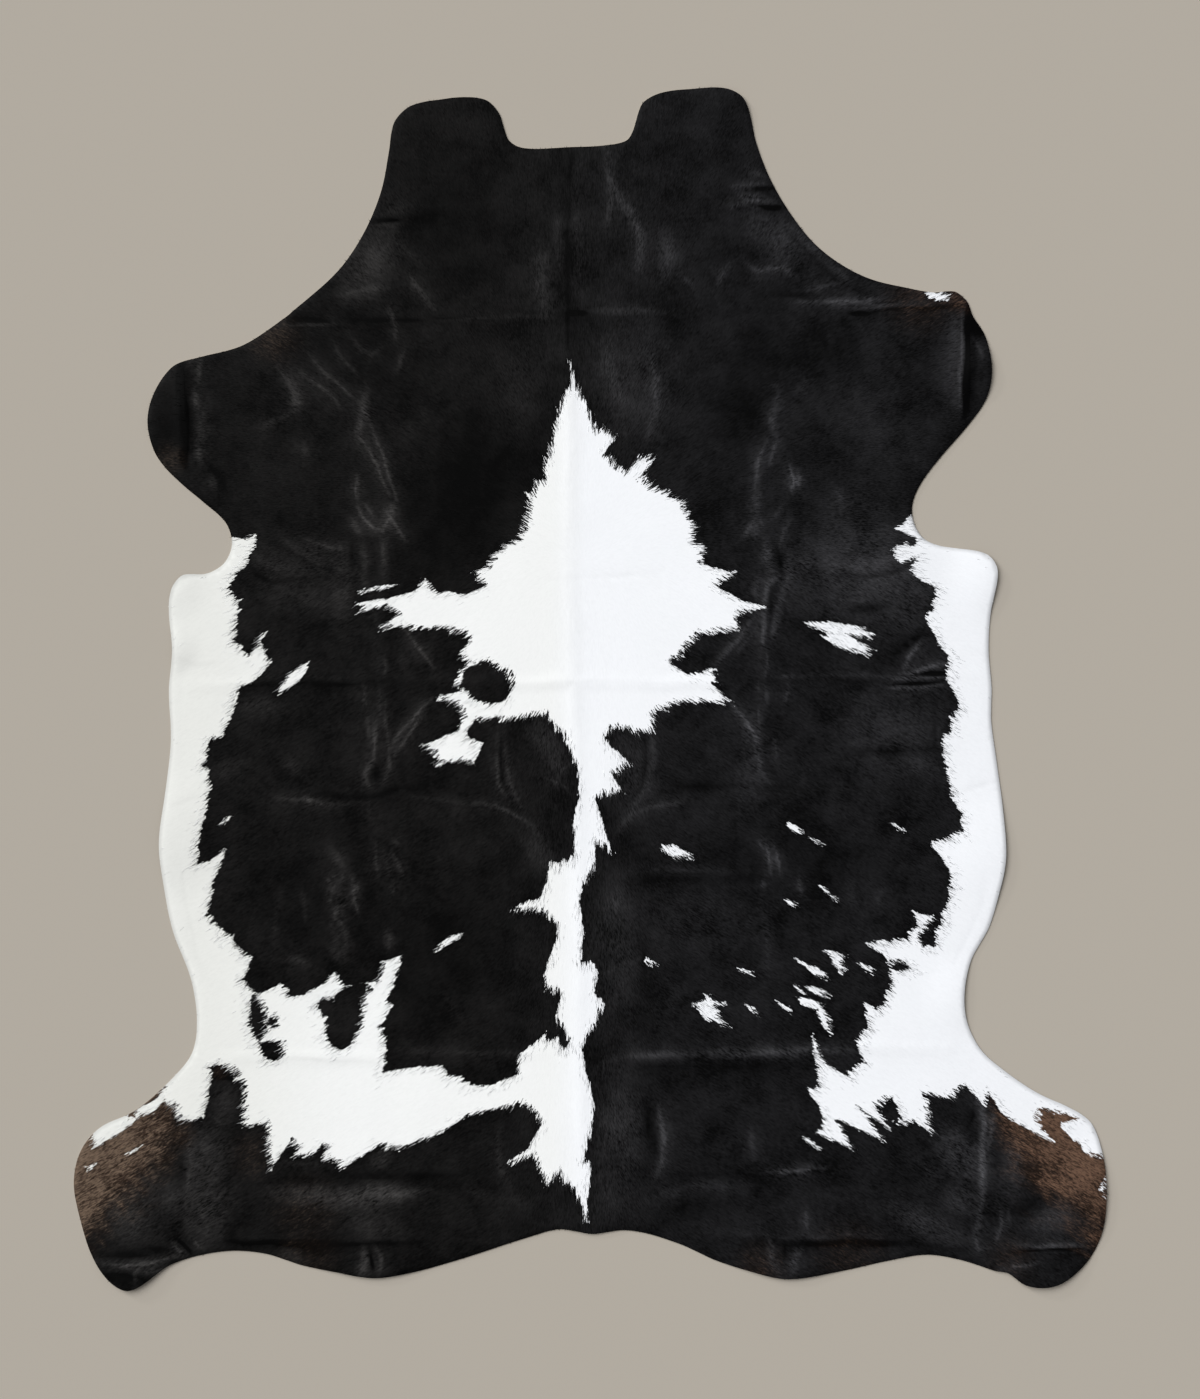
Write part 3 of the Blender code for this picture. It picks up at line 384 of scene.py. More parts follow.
# Borders of the white coat, (x, y) of their main bays and tongues
whiteBorders = {
    "blaze left": (
        (-3.9, 64.8), (-3.6, 61.0), (-6.0, 56.0), (-7.6, 48.6), (-9.2, 42.0), (-12.0, 38.6), (-12.0, 34.8),
        (-14.0, 30.2), (-18.2, 27.2), (-20.4, 24.2), (-23.4, 23.4), (-21.0, 20.4), (-25.0, 18.8),
        (-30.4, 19.4), (-33.0, 21.9), (-35.4, 19.4), (-40.0, 18.2), (-46.2, 17.4), (-44.6, 16.6),
        (-46.4, 15.2), (-40.5, 17.0), (-37.9, 15.0), (-41.5, 12.6), (-32.2, 12.3), (-28.8, 12.7),
        (-25.0, 11.5), (-24.2, 9.2), (-25.8, 7.5), (-24.4, 5.2), (-26.8, 2.0)),
    "below the island": (
        (-25.6, -0.4), (-30.3, -1.4), (-26.3, -3.3), (-25.3, -5.3), (-26.3, -8.3), (-32.8, -11.0),
        (-29.8, -14.0), (-31.5, -15.4), (-26.0, -14.0), (-23.2, -14.8), (-21.5, -11.3), (-24.6, -9.0),
        (-23.0, -5.9), (-15.7, -5.8), (-8.8, -4.7), (-7.5, -6.8), (-5.5, -8.3)),
    "spine left": (
        (-4.7, -10.2), (-2.4, -15.0), (-2.2, -21.3), (-3.2, -25.3), (-3.2, -33.7), (-7.3, -35.5),
        (-8.0, -34.3), (-8.8, -39.0), (-10.0, -41.7), (-15.5, -43.8), (-10.2, -43.9), (-6.4, -46.5),
        (-6.6, -49.4), (-9.2, -57.2), (-8.7, -60.2), (-5.7, -60.3), (-6.7, -65.5), (-4.0, -70.0),
        (-5.3, -72.5), (-6.5, -69.7), (-9.0, -70.3), (-8.7, -68.3), (-11.7, -71.3), (-14.2, -73.3)),
    "hind band upper": (
        (-14.0, -76.7), (-19.3, -79.2), (-24.0, -79.3), (-29.8, -75.3), (-36.0, -75.8), (-41.7, -76.8),
        (-40.5, -70.0), (-42.0, -67.2), (-39.3, -63.2), (-40.9, -62.6), (-38.8, -58.0), (-37.6, -53.2),
        (-41.2, -54.5), (-42.0, -58.5), (-46.8, -58.9), (-49.6, -59.7), (-50.8, -56.4), (-52.8, -58.5),
        (-57.2, -61.3), (-60.0, -61.3), (-61.7, -58.8), (-66.2, -61.1)),
    "left flank": (
        (-69.2, -58.3), (-67.7, -53.7), (-70.7, -51.5), (-76.5, -45.0), (-75.2, -38.0), (-72.7, -31.8),
        (-76.3, -34.7), (-78.9, -35.1), (-77.5, -27.3), (-76.0, -19.7), (-77.3, -15.2), (-76.1, -10.0),
        (-73.0, -9.2), (-71.3, -4.0), (-70.0, 0.3), (-66.0, 2.4), (-64.1, 5.0), (-65.7, 9.5), (-67.7, 6.7),
        (-71.0, 9.3), (-70.2, 17.5), (-72.3, 20.3), (-70.1, 23.3), (-67.1, 27.7), (-66.9, 31.0),
        (-69.0, 29.8), (-71.6, 30.3)),
    "past the left edge": ((-76.0, 29.0), (-92.0, 26.0), (-94.0, -60.0), (-88.0, -73.0), (-106.0, -86.0)),
    "hind band lower": (
        (-100.7, -90.0), (-99.5, -88.8), (-98.2, -91.2), (-94.7, -89.2), (-91.5, -87.0), (-90.0, -85.2),
        (-87.4, -84.6), (-84.7, -81.9),
        (-83.0, -83.0), (-81.5, -85.8), (-77.7, -86.2), (-76.3, -82.0), (-75.8, -75.3), (-74.0, -74.3),
        (-71.5, -75.7), (-69.1, -79.7), (-68.7, -87.7), (-64.3, -86.2), (-63.8, -95.8), (-60.0, -90.3),
        (-57.5, -91.3), (-59.3, -93.5), (-55.0, -92.7), (-53.3, -90.7), (-52.0, -91.5), (-53.2, -93.3),
        (-50.5, -93.7), (-49.2, -95.5), (-45.0, -92.8), (-42.0, -91.0),
        (-37.8, -91.7), (-29.7, -88.6), (-24.3, -85.0), (-13.8, -82.7), (-10.5, -84.3), (-9.6, -86.8),
        (-12.3, -91.7), (-16.0, -94.3), (-11.0, -93.2), (-8.7, -98.7), (-6.0, -96.2), (-2.5, -101.3)),
    "spine right": (
        (-0.7, -105.8), (0.1, -94.8), (-1.4, -94.0), (-0.1, -89.0), (0.9, -83.1), (-0.8, -76.0),
        (-1.7, -71.7), (2.8, -62.8), (0.9, -60.7), (1.5, -55.4), (-2.0, -54.8), (-1.3, -48.7), (-2.2, -41.7),
        (0.8, -34.7), (1.0, -30.0), (4.2, -32.2), (0.9, -21.5), (6.2, -20.2), (4.3, -17.0), (7.8, -14.8),
        (2.7, -9.7), (4.7, -7.2)),
    "blaze right": (
        (12.0, -8.7), (12.7, -5.0), (17.3, -2.2), (28.3, -2.7), (24.5, 0.6), (25.0, 4.2), (19.7, 2.7),
        (16.0, 5.0), (18.7, 8.5), (22.2, 11.2), (29.4, 12.4), (29.0, 15.2), (34.5, 16.5), (30.0, 17.8),
        (24.5, 20.8), (28.3, 23.3), (22.2, 24.9), (22.7, 28.4), (19.8, 29.4), (20.7, 31.7), (18.7, 37.0),
        (12.3, 40.4), (10.0, 42.3), (12.8, 46.2), (9.7, 46.0), (7.2, 43.1), (2.5, 46.7), (5.0, 50.2),
        (1.0, 51.7), (-0.7, 55.7), (-2.6, 60.4)),
    "right flank": (
        (64.2, 34.8), (61.4, 32.0), (64.8, 30.2), (60.8, 27.8), (61.7, 25.2), (65.3, 26.6), (64.2, 23.0),
        (68.8, 20.3), (69.5, 18.4), (67.2, 14.6), (69.1, 10.0), (71.8, 6.2), (71.5, 1.7), (73.8, -3.0),
        (70.7, -10.0), (71.5, -18.8), (74.0, -25.3), (74.3, -28.3), (68.3, -31.3), (72.2, -36.2),
        (71.3, -44.0), (69.3, -50.0), (67.0, -52.0), (65.5, -50.0), (68.3, -45.2), (64.7, -44.5),
        (65.6, -47.4), (63.2, -49.8), (55.3, -51.0), (59.2, -53.5), (60.3, -58.8)),
    "right hind band": (
        (57.5, -64.2), (54.8, -62.5), (55.5, -67.7), (53.5, -70.5), (54.5, -74.3), (51.2, -77.3),
        (46.8, -74.7), (44.2, -68.5), (46.2, -79.3), (43.0, -80.0), (46.0, -83.3), (46.8, -88.0),
        (44.8, -88.5), (52.0, -91.7), (49.5, -86.1), (58.8, -90.3), (54.2, -84.0), (60.2, -88.2),
        (56.8, -83.0), (60.7, -81.5), (62.5, -86.0), (60.8, -86.8), (64.6, -86.2), (68.2, -88.8),
        (66.8, -80.7), (71.7, -82.0), (74.7, -78.7), (78.7, -83.2), (79.5, -80.2), (82.7, -85.2),
        (92.3, -90.5), (88.8, -85.7), (90.0, -83.8), (97.7, -85.5), (93.7, -87.2), (99.3, -93.0),
        (102.5, -93.2)),
    "past the right edge": ((108.0, -92.0), (94.0, -76.0), (84.0, -66.0), (92.0, -40.0), (90.0, 28.0),
                            (70.0, 32.0)),
}
whiteAreas = {
    "back, hind band and left flank": (
        "blaze left", "below the island", "spine left", "hind band upper", "left flank",
        "past the left edge", "hind band lower", "spine right", "blaze right"),
    "right flank": ("right flank", "right hind band", "past the right edge"),
}

# Dark islands in the white: name: (x, y) of the middle, half length, half width, lean in degrees from +X
darkIslands = {
    "blaze island": (-20.6, 1.2, 5.2, 4.2, -16.0),
    "blaze island tail": (-25.4, 0.6, 1.3, 0.6, 0.0),
    "left rump lobe": (-49.0, -65.7, 6.6, 3.6, 76.0),
    "left rump lobe side": (-51.8, -63.8, 2.6, 2.2, -25.0),
    "left rump lobe foot": (-49.7, -69.8, 2.7, 1.8, 0.0),
    "left rump lobe neck": (-46.4, -60.6, 2.6, 1.8, 65.0),
    "left rump long": (-66.4, -65.7, 4.6, 1.7, 97.0),
    "left rump small": (-63.4, -66.6, 1.3, 1.0, 90.0),
    "left rump low": (-63.6, -72.1, 2.6, 2.1, -20.0),
    "right rump": (61.6, -55.4, 2.2, 1.0, -10.0),
    "right armpit": (64.2, 29.6, 1.2, 1.0, 0.0),
    "left leg spot": (-91.5, -84.6, 1.2, 0.7, 38.0),
    "left leg strip": (-87.6, -81.4, 2.9, 0.8, 37.0),
    "right leg spot": (97.8, -91.5, 0.9, 0.6, -50.0),
}

# White streaks in the dark coat: name: (x, y) of both ends, width
whiteStreaks = {
    "left blaze finger": (-45.5, 19.5, -38.0, 20.9, 0.8),
    "left flank comet": (-56.2, 4.8, -62.0, -0.4, 2.5),
    "left flank fleck": (-64.6, 11.4, -66.0, 9.8, 0.9),
    "left loin fleck": (-72.0, -25.5, -73.4, -27.2, 0.8),
    "left rump comet": (-25.2, -48.6, -31.2, -52.0, 1.3),
    "right flank streak": (43.0, 13.2, 55.6, 11.0, 2.8),
    "right flank streak low": (46.8, 11.4, 55.8, 7.4, 2.8),
    "right loin spot": (14.6, -31.6, 19.6, -33.4, 2.5),
    "right rump fleck": (10.8, -54.2, 13.2, -54.7, 0.5),
    "star arms": (20.2, -63.0, 26.6, -62.6, 1.3),
    "star body": (21.4, -63.8, 26.0, -65.2, 3.4),
    "star top": (23.4, -61.2, 24.2, -64.0, 1.4),
    "star foot": (24.2, -65.4, 27.6, -67.3, 1.0),
    "star side": (31.3, -63.3, 33.3, -65.0, 0.9),
    "above the star": (29.7, -56.0, 32.2, -56.8, 0.9),
    "loin dash": (39.3, -26.8, 42.0, -28.6, 1.4),
    "loin dash right": (43.4, -29.6, 46.4, -30.7, 0.5),
    "loin dash far": (59.9, -26.7, 62.8, -28.2, 0.6),
    "rump dash": (39.0, -42.3, 41.0, -43.0, 1.1),
    "rump dash pair": (46.1, -39.4, 48.3, -41.1, 0.6),
    "rump dash pair low": (47.5, -40.9, 49.3, -42.0, 0.6),
    "flank chevron": (43.0, -55.2, 47.2, -57.5, 1.8),
    "flank chevron tip": (40.7, -53.7, 44.6, -56.1, 0.7),
    "flank chevron right": (48.7, -52.8, 50.2, -56.3, 2.1),
    "flank chevron top": (46.6, -52.2, 50.8, -53.4, 1.1),
    "flank dash": (53.6, -54.7, 56.4, -56.4, 1.0),
    "flank dash low": (40.7, -59.1, 42.7, -60.8, 0.6),
    "flank dash low right": (43.0, -59.6, 47.6, -61.0, 1.2),
    "hook top": (41.2, -61.8, 46.2, -63.4, 1.7),
    "hook stem": (45.4, -62.7, 47.8, -68.8, 1.9),
    "hook side": (37.4, -62.4, 39.9, -64.3, 0.7),
    "hind dash": (42.8, -89.6, 45.8, -91.8, 0.9),
    "right shoulder patch": (67.0, 79.0, 71.6, 78.2, 2.2),
    "left leg sliver": (-92.4, -93.0, -89.6, -91.2, 0.6),
    "left leg sliver low": (-100.2, -95.4, -98.6, -95.0, 0.7),
    "right leg sliver": (102.8, -97.0, 102.2, -101.0, 0.8),
}

# The strands of a white streak, in cm or in shares of it
strandSizes = {
    "seed": 8,
    "inset": 0.05,                # its core starts and ends this far inside it
    "slender": 1.4,               # a narrower streak has the slender core
    "slenderCore": 0.65,
    "fullCore": 0.85,
    "spacing": 0.6,               # width for each strand beyond the first two
    "starts": (-0.05, 0.4),       # where the strands start and end along it
    "ends": (0.6, 1.05),
    "side": 0.4,                  # how far they lie beside its middle
    "width": 0.2,
    "widthShare": 0.22,
}

# Broad painted sheen and painted shade of the dark coat: name: (x, y) of the middle, half length, half width,
# lean, strength
paintedSheenPatches = {
    "neck left": (-26.0, 94.0, 16.0, 12.0, 80, -0.04),
    "neck left side": (-44.0, 85.0, 9.0, 5.0, 55, 0.24),
    "neck right side": (38.0, 90.0, 9.0, 5.0, -45, 0.20),
    "left shoulder": (-46.0, 66.0, 16.0, 8.0, -15, -0.05),
    "left of the blaze": (-23.0, 41.0, 24.0, 12.0, 58, -0.09),
    "above the blaze": (-15.0, 58.0, 12.0, 6.0, 80, 0.11),
    "right of the blaze": (9.0, 61.0, 14.0, 9.0, 90, 0.12),
    "left foreleg": (-85.0, 54.0, 10.0, 4.0, 90, -0.06),
    "right shoulder": (32.0, 60.0, 20.0, 9.0, 75, -0.05),
    "right shoulder middle": (48.0, 68.0, 8.0, 6.0, 0, -0.05),
    "right shoulder low": (58.0, 52.0, 12.0, 9.0, -60, 0.04),
    "left flank": (-58.0, 23.0, 11.0, 8.0, -10, 0.14),
    "left flank inner": (-49.4, 20.0, 9.0, 2.8, 85, 0.17),
    "left waist": (-65.6, -3.6, 5.0, 2.2, 0, 0.17),
    "left loin edge": (-72.0, -16.0, 4.5, 2.4, 10, 0.12),
    "left loin knot": (-59.8, -15.4, 2.4, 1.8, -30, 0.18),
    "spine left upper": (-8.4, -11.0, 7.0, 3.2, -60, 0.20),
    "spine left lower": (-10.0, -33.0, 6.5, 3.0, -60, 0.15),
    "left rump": (-30.0, -54.0, 18.0, 12.0, 60, -0.05),
    "left rump far": (-52.0, -44.0, 14.0, 9.0, 0, -0.05),
    "left rump spot": (-39.8, -50.2, 2.4, 1.2, 90, 0.30),
    "right flank": (56.0, 23.0, 16.0, 12.0, -5, 0.26),
    "right flank upper": (53.0, 36.0, 10.0, 6.0, 0, 0.06),
    "right flank spot": (43.0, 25.4, 1.6, 1.6, 0, 0.18),
    "right loin": (60.0, -9.0, 13.0, 9.0, -10, 0.13),
    "right loin spot": (66.0, -15.4, 3.4, 2.4, 0, 0.10),
    "right loin inner": (32.0, -16.0, 9.5, 3.0, 85, 0.13),
    "right spine": (8.0, -16.0, 9.0, 5.0, 90, 0.14),
    "right rump": (40.0, -34.0, 22.0, 8.0, 0, -0.04),
    "right rump inner": (21.0, -46.0, 15.0, 6.0, 0, 0.055),
    "tail left": (-54.0, -101.4, 10.0, 2.4, -6, 0.42),
    "tail left bright": (-43.0, -101.0, 7.0, 2.4, 0, 0.50),
    "tail left low": (-44.0, -106.0, 7.0, 3.4, -20, 0.16),
    "tail left upper": (-42.0, -94.0, 2.8, 1.7, 60, 0.28),
    "hem left": (-59.6, -113.4, 3.0, 1.7, -20, 0.18),
    "left hind tongue": (-73.0, -82.0, 4.0, 3.0, 90, 0.20),
    "left hind leg": (-77.0, -92.6, 5.6, 6.0, 0, 0.30),
    "left hind leg low": (-77.0, -103.0, 8.0, 7.0, 90, 0.34),
    "left hind leg middle": (-89.0, -99.6, 7.0, 4.6, -38, 0.22),
    "left hind leg far": (-92.0, -106.0, 7.0, 4.4, -35, 0.27),
    "right tail dark": (22.0, -103.6, 9.0, 2.8, 0, -0.05),
    "right hind leg": (73.6, -93.0, 6.6, 4.2, -60, 0.30),
    "right hind leg low": (74.0, -102.0, 4.0, 3.0, 0, 0.20),
    "right hind leg middle": (84.5, -96.5, 6.5, 3.4, 80, 0.16),
    "right hind leg dark": (87.0, -104.0, 4.2, 3.0, 0, -0.05),
    "right hem": (67.0, -106.8, 7.5, 3.2, -25, 0.20),
    "right leg tip": (92.0, -106.0, 6.0, 3.0, 20, 0.20),
}

# How strongly the painted sheen of the patches and of the creases shows
sheenSizes = {"patchReach": 1.35, "patchShine": 1.5, "creaseShine": 1.9}

# A strip of very fine wrinkles in the left rump, each raised a little and painted with a highlight
fineWrinkles = {
    "top": (-50.9, -37.6), "end": (-49.7, -54.0), "reach": 1.7, "spacing": 0.62, "seed": 21,
    "jitter": 0.5, "halfWidth": 0.28, "halfLength": (0.35, 0.9), "lean": (15, 60), "strength": (0.05, 0.20),
}

# Brown coat of the hind legs lies above the line from the outer point to the inner one
brownLegs = {
    "left": {"outer": (-103.5, -111.0), "inner": (-82.0, -93.0), "knee": -81.5},
    "right": {"outer": (103.0, -112.0), "inner": (80.0, -90.0), "knee": 79.0},
}

brownEdge = {
    "top": -70.0,                 # no brown leg above this, cm
    "fade": (-8.0, 13.0),         # distances above the line over which it comes in
    "sideFade": (-1.5, 3.5),      # and outwards from the knee
    "kneeShare": 0.55,            # as strong as this by the knee, and in full past the next distances
    "sideFull": (2.0, 10.0),
    "wander": 3.0,
    "wanderSize": 6.0,
    "streak": 5.0,
    "streakWidth": 0.9,
    "streakLength": 6.0,
    "tingePower": 0.6,            # under 1, so that a tinge is even inside and ends softly
}

# Faint brown in the dark coat: name: (x, y, radius, strength)
brownTinges = {
    "left hind stripe": (-82.2, -89.0, 4.6, 0.34),
    "left hind inner": (-67.5, -93.0, 7.0, 0.15),
    "left hem": (-56.0, -113.5, 9.0, 0.16),
    "left tail": (-57.0, -104.0, 10.0, 0.15),
    "left tongue top": (-74.0, -76.4, 2.6, 0.24),
    "right shoulder": (66.0, 78.0, 10.0, 0.20),
    "right shoulder tip": (73.4, 78.0, 4.6, 0.32),
    "left shoulder": (-63.0, 70.4, 8.0, 0.18),
    "left foreleg": (-84.0, 46.0, 4.6, 0.17),
    "right tail": (34.0, -115.5, 7.0, 0.20),
    "right hem": (52.0, -113.4, 10.0, 0.16),
    "right leg tip": (84.0, -114.0, 7.0, 0.17),
}

hairWhorl = {
    "middle": (-2.0, 24.0),
    "core": 0.1,
    "droop": 0.25,                # pull towards the tail above the whorl
    "blend": (-24.0, 6.0),        # heights over which the lower field changes to the upper
    "spread": 22.0,               # distance from the spine where the flanks' slope is reached
    "flankSlope": 35.0,           # degrees below level
}
hairAngles = [math.pi * k / 6 for k in range(6)]
angleFocus = len(hairAngles) / 4      # each angle fades to nothing at its neighbours


def inMetres(rows):
    return np.array(rows, float) * cm


def softBump(distance, reach):
    # 1 in the middle, 0 from the reach outwards
    return np.clip(1 - (distance / reach) ** 2, 0, None) ** 2


def softStep(value, low, high):
    share = np.clip((value - low) / (high - low), 0, 1)
    return share * share * (3 - 2 * share)


def ripple(points, size, layer):
    # A smooth random field from about -1 to 1, with waves about as long as size
    return np.array([noise.noise((x / size, y / size, layer)) for x, y in points])


def alongPath(points, rows):
    # Distance of each point from a path, and how far along the path its nearest place is, from 0 to 1
    corners = inMetres(rows)
    steps = np.diff(corners, axis=0)
    lengths = np.linalg.norm(steps, axis=1)
    best = np.full(len(points), np.inf)
    share = np.zeros(len(points))
    run = 0.0
    for start, step, length in zip(corners, steps, lengths):
        part = np.clip((points - start) @ step / length ** 2, 0, 1)
        distance = np.linalg.norm(points - start - part[:, None] * step, axis=1)
        nearer = distance < best
        best[nearer] = distance[nearer]
        share[nearer] = (run + part[nearer] * length) / lengths.sum()
        run += length
    return best, share


def signedDistance(points, loop):
    # Distance of each point from a closed loop, above 0 inside it
    best = np.full(len(points), np.inf)
    inside = np.zeros(len(points), bool)
    for a, b in zip(loop, np.roll(loop, -1, axis=0)):
        step = b - a
        part = np.clip((points - a) @ step / max(step @ step, tiny), 0, 1)
        gap = points - a - part[:, None] * step
        best = np.minimum(best, (gap * gap).sum(1))
        if a[1] != b[1]:
            spans = (a[1] > points[:, 1]) != (b[1] > points[:, 1])
            inside ^= spans & (a[0] + (points[:, 1] - a[1]) / step[1] * step[0] > points[:, 0])
    return np.where(inside, 1, -1) * np.sqrt(best)


def ovalReach(points, x, y, halfLength, halfWidth, lean):
    # Distance of each point from the middle of a leaning oval, 1 on its rim
    turn = math.radians(lean)
    away = points - inMetres((x, y))
    u = (away[:, 0] * math.cos(turn) + away[:, 1] * math.sin(turn)) / (halfLength * cm)
    v = (away[:, 1] * math.cos(turn) - away[:, 0] * math.sin(turn)) / (halfWidth * cm)
    return np.hypot(u, v)


def hairDirection(points):
    # Unit vectors along which the hair lies, from root to tip
    fromWhorl = points - inMetres(hairWhorl["middle"])
    core = hairWhorl["core"] * cm
    radial = fromWhorl / np.maximum(np.linalg.norm(fromWhorl, axis=1), core)[:, None]
    upper = radial + (0, -hairWhorl["droop"])
    outward = softStep(np.abs(fromWhorl[:, 0]), 0, hairWhorl["spread"] * cm)
    slope = np.radians(90 + (hairWhorl["flankSlope"] - 90) * outward)
    lower = np.stack([np.sign(fromWhorl[:, 0]) * np.cos(slope), -np.sin(slope)], axis=1)
    share = softStep(fromWhorl[:, 1], *inMetres(hairWhorl["blend"]))[:, None]
    way = upper * share + lower * (1 - share)
    return way / np.maximum(np.linalg.norm(way, axis=1), tiny)[:, None]


def hairStreaks(points, across, along, layer):
    # Random streaks along the hair, from about -1 to 1, where its direction is a blend of two fixed angles
    way = hairDirection(points)
    cosDouble = way[:, 0] ** 2 - way[:, 1] ** 2
    sinDouble = 2 * way[:, 0] * way[:, 1]
    total = np.zeros(len(points))
    for angle in hairAngles:
        match = cosDouble * math.cos(2 * angle) + sinDouble * math.sin(2 * angle)
        weight = np.maximum(np.cos(angleFocus * np.arccos(np.clip(match, -1, 1))), 0)
        near = weight > 0
        u = points[near] @ (math.cos(angle), math.sin(angle)) / along
        v = points[near] @ (-math.sin(angle), math.cos(angle)) / across
        total[near] += weight[near] * ripple(np.stack([u, v], axis=1), 1.0, layer + angle)
    return total


def streakStrands():
    # Each white streak as a small brush of strands, in cm: (start, end, width)
    sizes = strandSizes
    random = np.random.default_rng(sizes["seed"])
    strands = []
    for x1, y1, x2, y2, width in whiteStreaks.values():
        start, end = np.array([x1, y1]), np.array([x2, y2])
        way = end - start
        side = np.array([-way[1], way[0]]) / np.linalg.norm(way)
        inset = way * sizes["inset"]
        core = sizes["slenderCore"] if width < sizes["slender"] else sizes["fullCore"]
        strands.append((tuple(start + inset), tuple(end - inset), width * core))
        for _ in range(2 + round(width / sizes["spacing"])):
            tips = []
            for limits in (sizes["starts"], sizes["ends"]):
                tip = start + way * random.uniform(*limits)
                tips.append(tuple(tip + side * random.uniform(-sizes["side"], sizes["side"]) * width))
            strands.append((*tips, sizes["width"] + width * sizes["widthShare"]))
    return strands


def whiteDepth(points):
    # How far inside the white coat each point is, below 0 in the dark coat
    sizes = toothSizes
    wander = hairStreaks(points, sizes["width"], sizes["length"], noiseLayers["tooth"]) * sizes["reach"]
    wander += ripple(points, sizes["baySize"], noiseLayers["bay"]) * sizes["bay"]
    shift = hairDirection(points) * wander[:, None]
    depth = np.full(len(points), -1.0)
    for names in whiteAreas.values():
        loop = inMetres([row for name in names for row in whiteBorders[name]])
        depth = np.maximum(depth, signedDistance(points - shift, loop))
    for x, y, halfLength, halfWidth, lean in darkIslands.values():
        reach = ovalReach(points - shift * sizes["islandShare"], x, y, halfLength, halfWidth, lean)
        depth = np.minimum(depth, (reach - 1) * min(halfLength, halfWidth) * cm)
    blunt = sizes["streakBlunt"]
    roots = points - shift * sizes["streakShare"]
    for start, end, width in streakStrands():
        distance, share = alongPath(roots, (start, end))
        halfWidth = width * cm / 2 * np.sin(math.pi * (blunt + (1 - 2 * blunt) * share))
        depth = np.maximum(depth, halfWidth - distance)
    return depth


def coatLines():
    # Every fine crease as (half width in metres, strength, path), the strip of wrinkles among them
    lines = [(halfWidth * cm, strength, path)
             for rows in coatCreases.values() for halfWidth, strength, path in rows]
    strip = fineWrinkles
    random = np.random.default_rng(strip["seed"])
    top, end = np.array(strip["top"]), np.array(strip["end"])
    count = round(np.linalg.norm(end - top) / strip["spacing"])
    for share in np.linspace(0, 1, count):
        for side in (-0.5, 0.5):
            jitter = random.uniform(-0.5, 0.5, 2) * (strip["reach"], strip["jitter"])
            middle = top + (end - top) * share + jitter
            middle[0] += side * strip["reach"]
            lean = math.radians(random.uniform(*strip["lean"]))
            half = np.array([math.cos(lean), math.sin(lean)]) * random.uniform(*strip["halfLength"])
            path = (tuple(middle - half), tuple(middle + half))
            lines.append((strip["halfWidth"] * cm, random.uniform(*strip["strength"]), path))
    return lines


def crease(points, halfWidth, path):
    # Full along the path, with a soft halo on both sides, and low at its ends
    sizes = creaseSizes
    distance, share = alongPath(points, path)
    core = softBump(distance, max(halfWidth, sizes["narrowest"]) * sizes["coreReach"])
    halo = softBump(distance, halfWidth * sizes["haloReach"] + sizes["halo"]) * sizes["haloShare"]
    ends = sizes["endShare"]
    return (core + halo) * np.sin(math.pi * np.clip(share * (1 - 2 * ends) + ends, 0, 1))


def paintedSheen(points):
    # Painted sheen of the coat at each point, which lightens its colour, below 0 painted shade that darkens
    # it
    sizes = sheenSizes
    shifted, strength = wavering(points)
    paintedShine = np.zeros(len(points))
    for *oval, amount in paintedSheenPatches.values():
        paintedShine += amount * softBump(ovalReach(shifted, *oval), sizes["patchReach"])
    lines = sum(amount * crease(shifted, halfWidth, path) for halfWidth, amount, path in coatLines())
    return paintedShine * sizes["patchShine"] + lines * strength * sizes["creaseShine"]


def brownShare(points):
    # How brown the dark coat is at each point, from 0 to 1
    edge = brownEdge
    wander = ripple(points, edge["wanderSize"] * cm, noiseLayers["brown"]) * edge["wander"] * cm
    streaks = hairStreaks(points, edge["streakWidth"] * cm, edge["streakLength"] * cm,
                          noiseLayers["brownStreak"]) * edge["streak"] * cm
    share = np.zeros(len(points))
    for leg in brownLegs.values():
        outer, inner = inMetres(leg["outer"]), inMetres(leg["inner"])
        side = np.sign(leg["knee"])
        way = (inner - outer) / np.linalg.norm(inner - outer)
        above = ((points - outer) @ (-way[1], way[0])) * -side + wander + streaks
        outwards = points[:, 0] * side - abs(leg["knee"]) * cm
        here = softStep(above, *inMetres(edge["fade"])) * (points[:, 1] < edge["top"] * cm)
        here *= softStep(outwards, *inMetres(edge["sideFade"]))
        here *= edge["kneeShare"] + (1 - edge["kneeShare"]) * softStep(outwards, *inMetres(edge["sideFull"]))
        share = np.maximum(share, here)
    for x, y, radius, strength in brownTinges.values():
        distance = np.linalg.norm(points - inMetres((x, y)), axis=1)
        share = np.maximum(share, strength * softBump(distance, radius * cm) ** edge["tingePower"])
    return share


def wavering(points):
    # The points shifted a little, so that creases wander, and how strongly a crease shows at each
    sizes = creaseSizes
    shift = [ripple(points, sizes["waverSize"], noiseLayers[name]) * sizes["waver"]
             for name in ("waverX", "waverY")]
    middle, swing = sizes["fade"]
    strength = middle + swing * ripple(points, sizes["fadeSize"], noiseLayers["fade"])
    return points + np.stack(shift, axis=1), np.clip(strength, *sizes["fadeLimits"])


def lift(points):
    # How far the underside stands off the floor
    shifted, strength = wavering(points)
    ridges = []
    for halfWidth, rise, rows in foldLines.values():
        distance, share = alongPath(shifted, rows)
        ends = np.interp(share, foldEnds["share"], foldEnds["height"])
        ridges.append(softBump(distance, halfWidth * cm) * rise * mm * ends)
    raised = [rise * mm * softBump(np.linalg.norm(points - inMetres((x, y)), axis=1), radius * cm)
              for x, y, radius, rise in curls.values()]
    return np.max(ridges, axis=0) * strength + np.max(raised, axis=0)


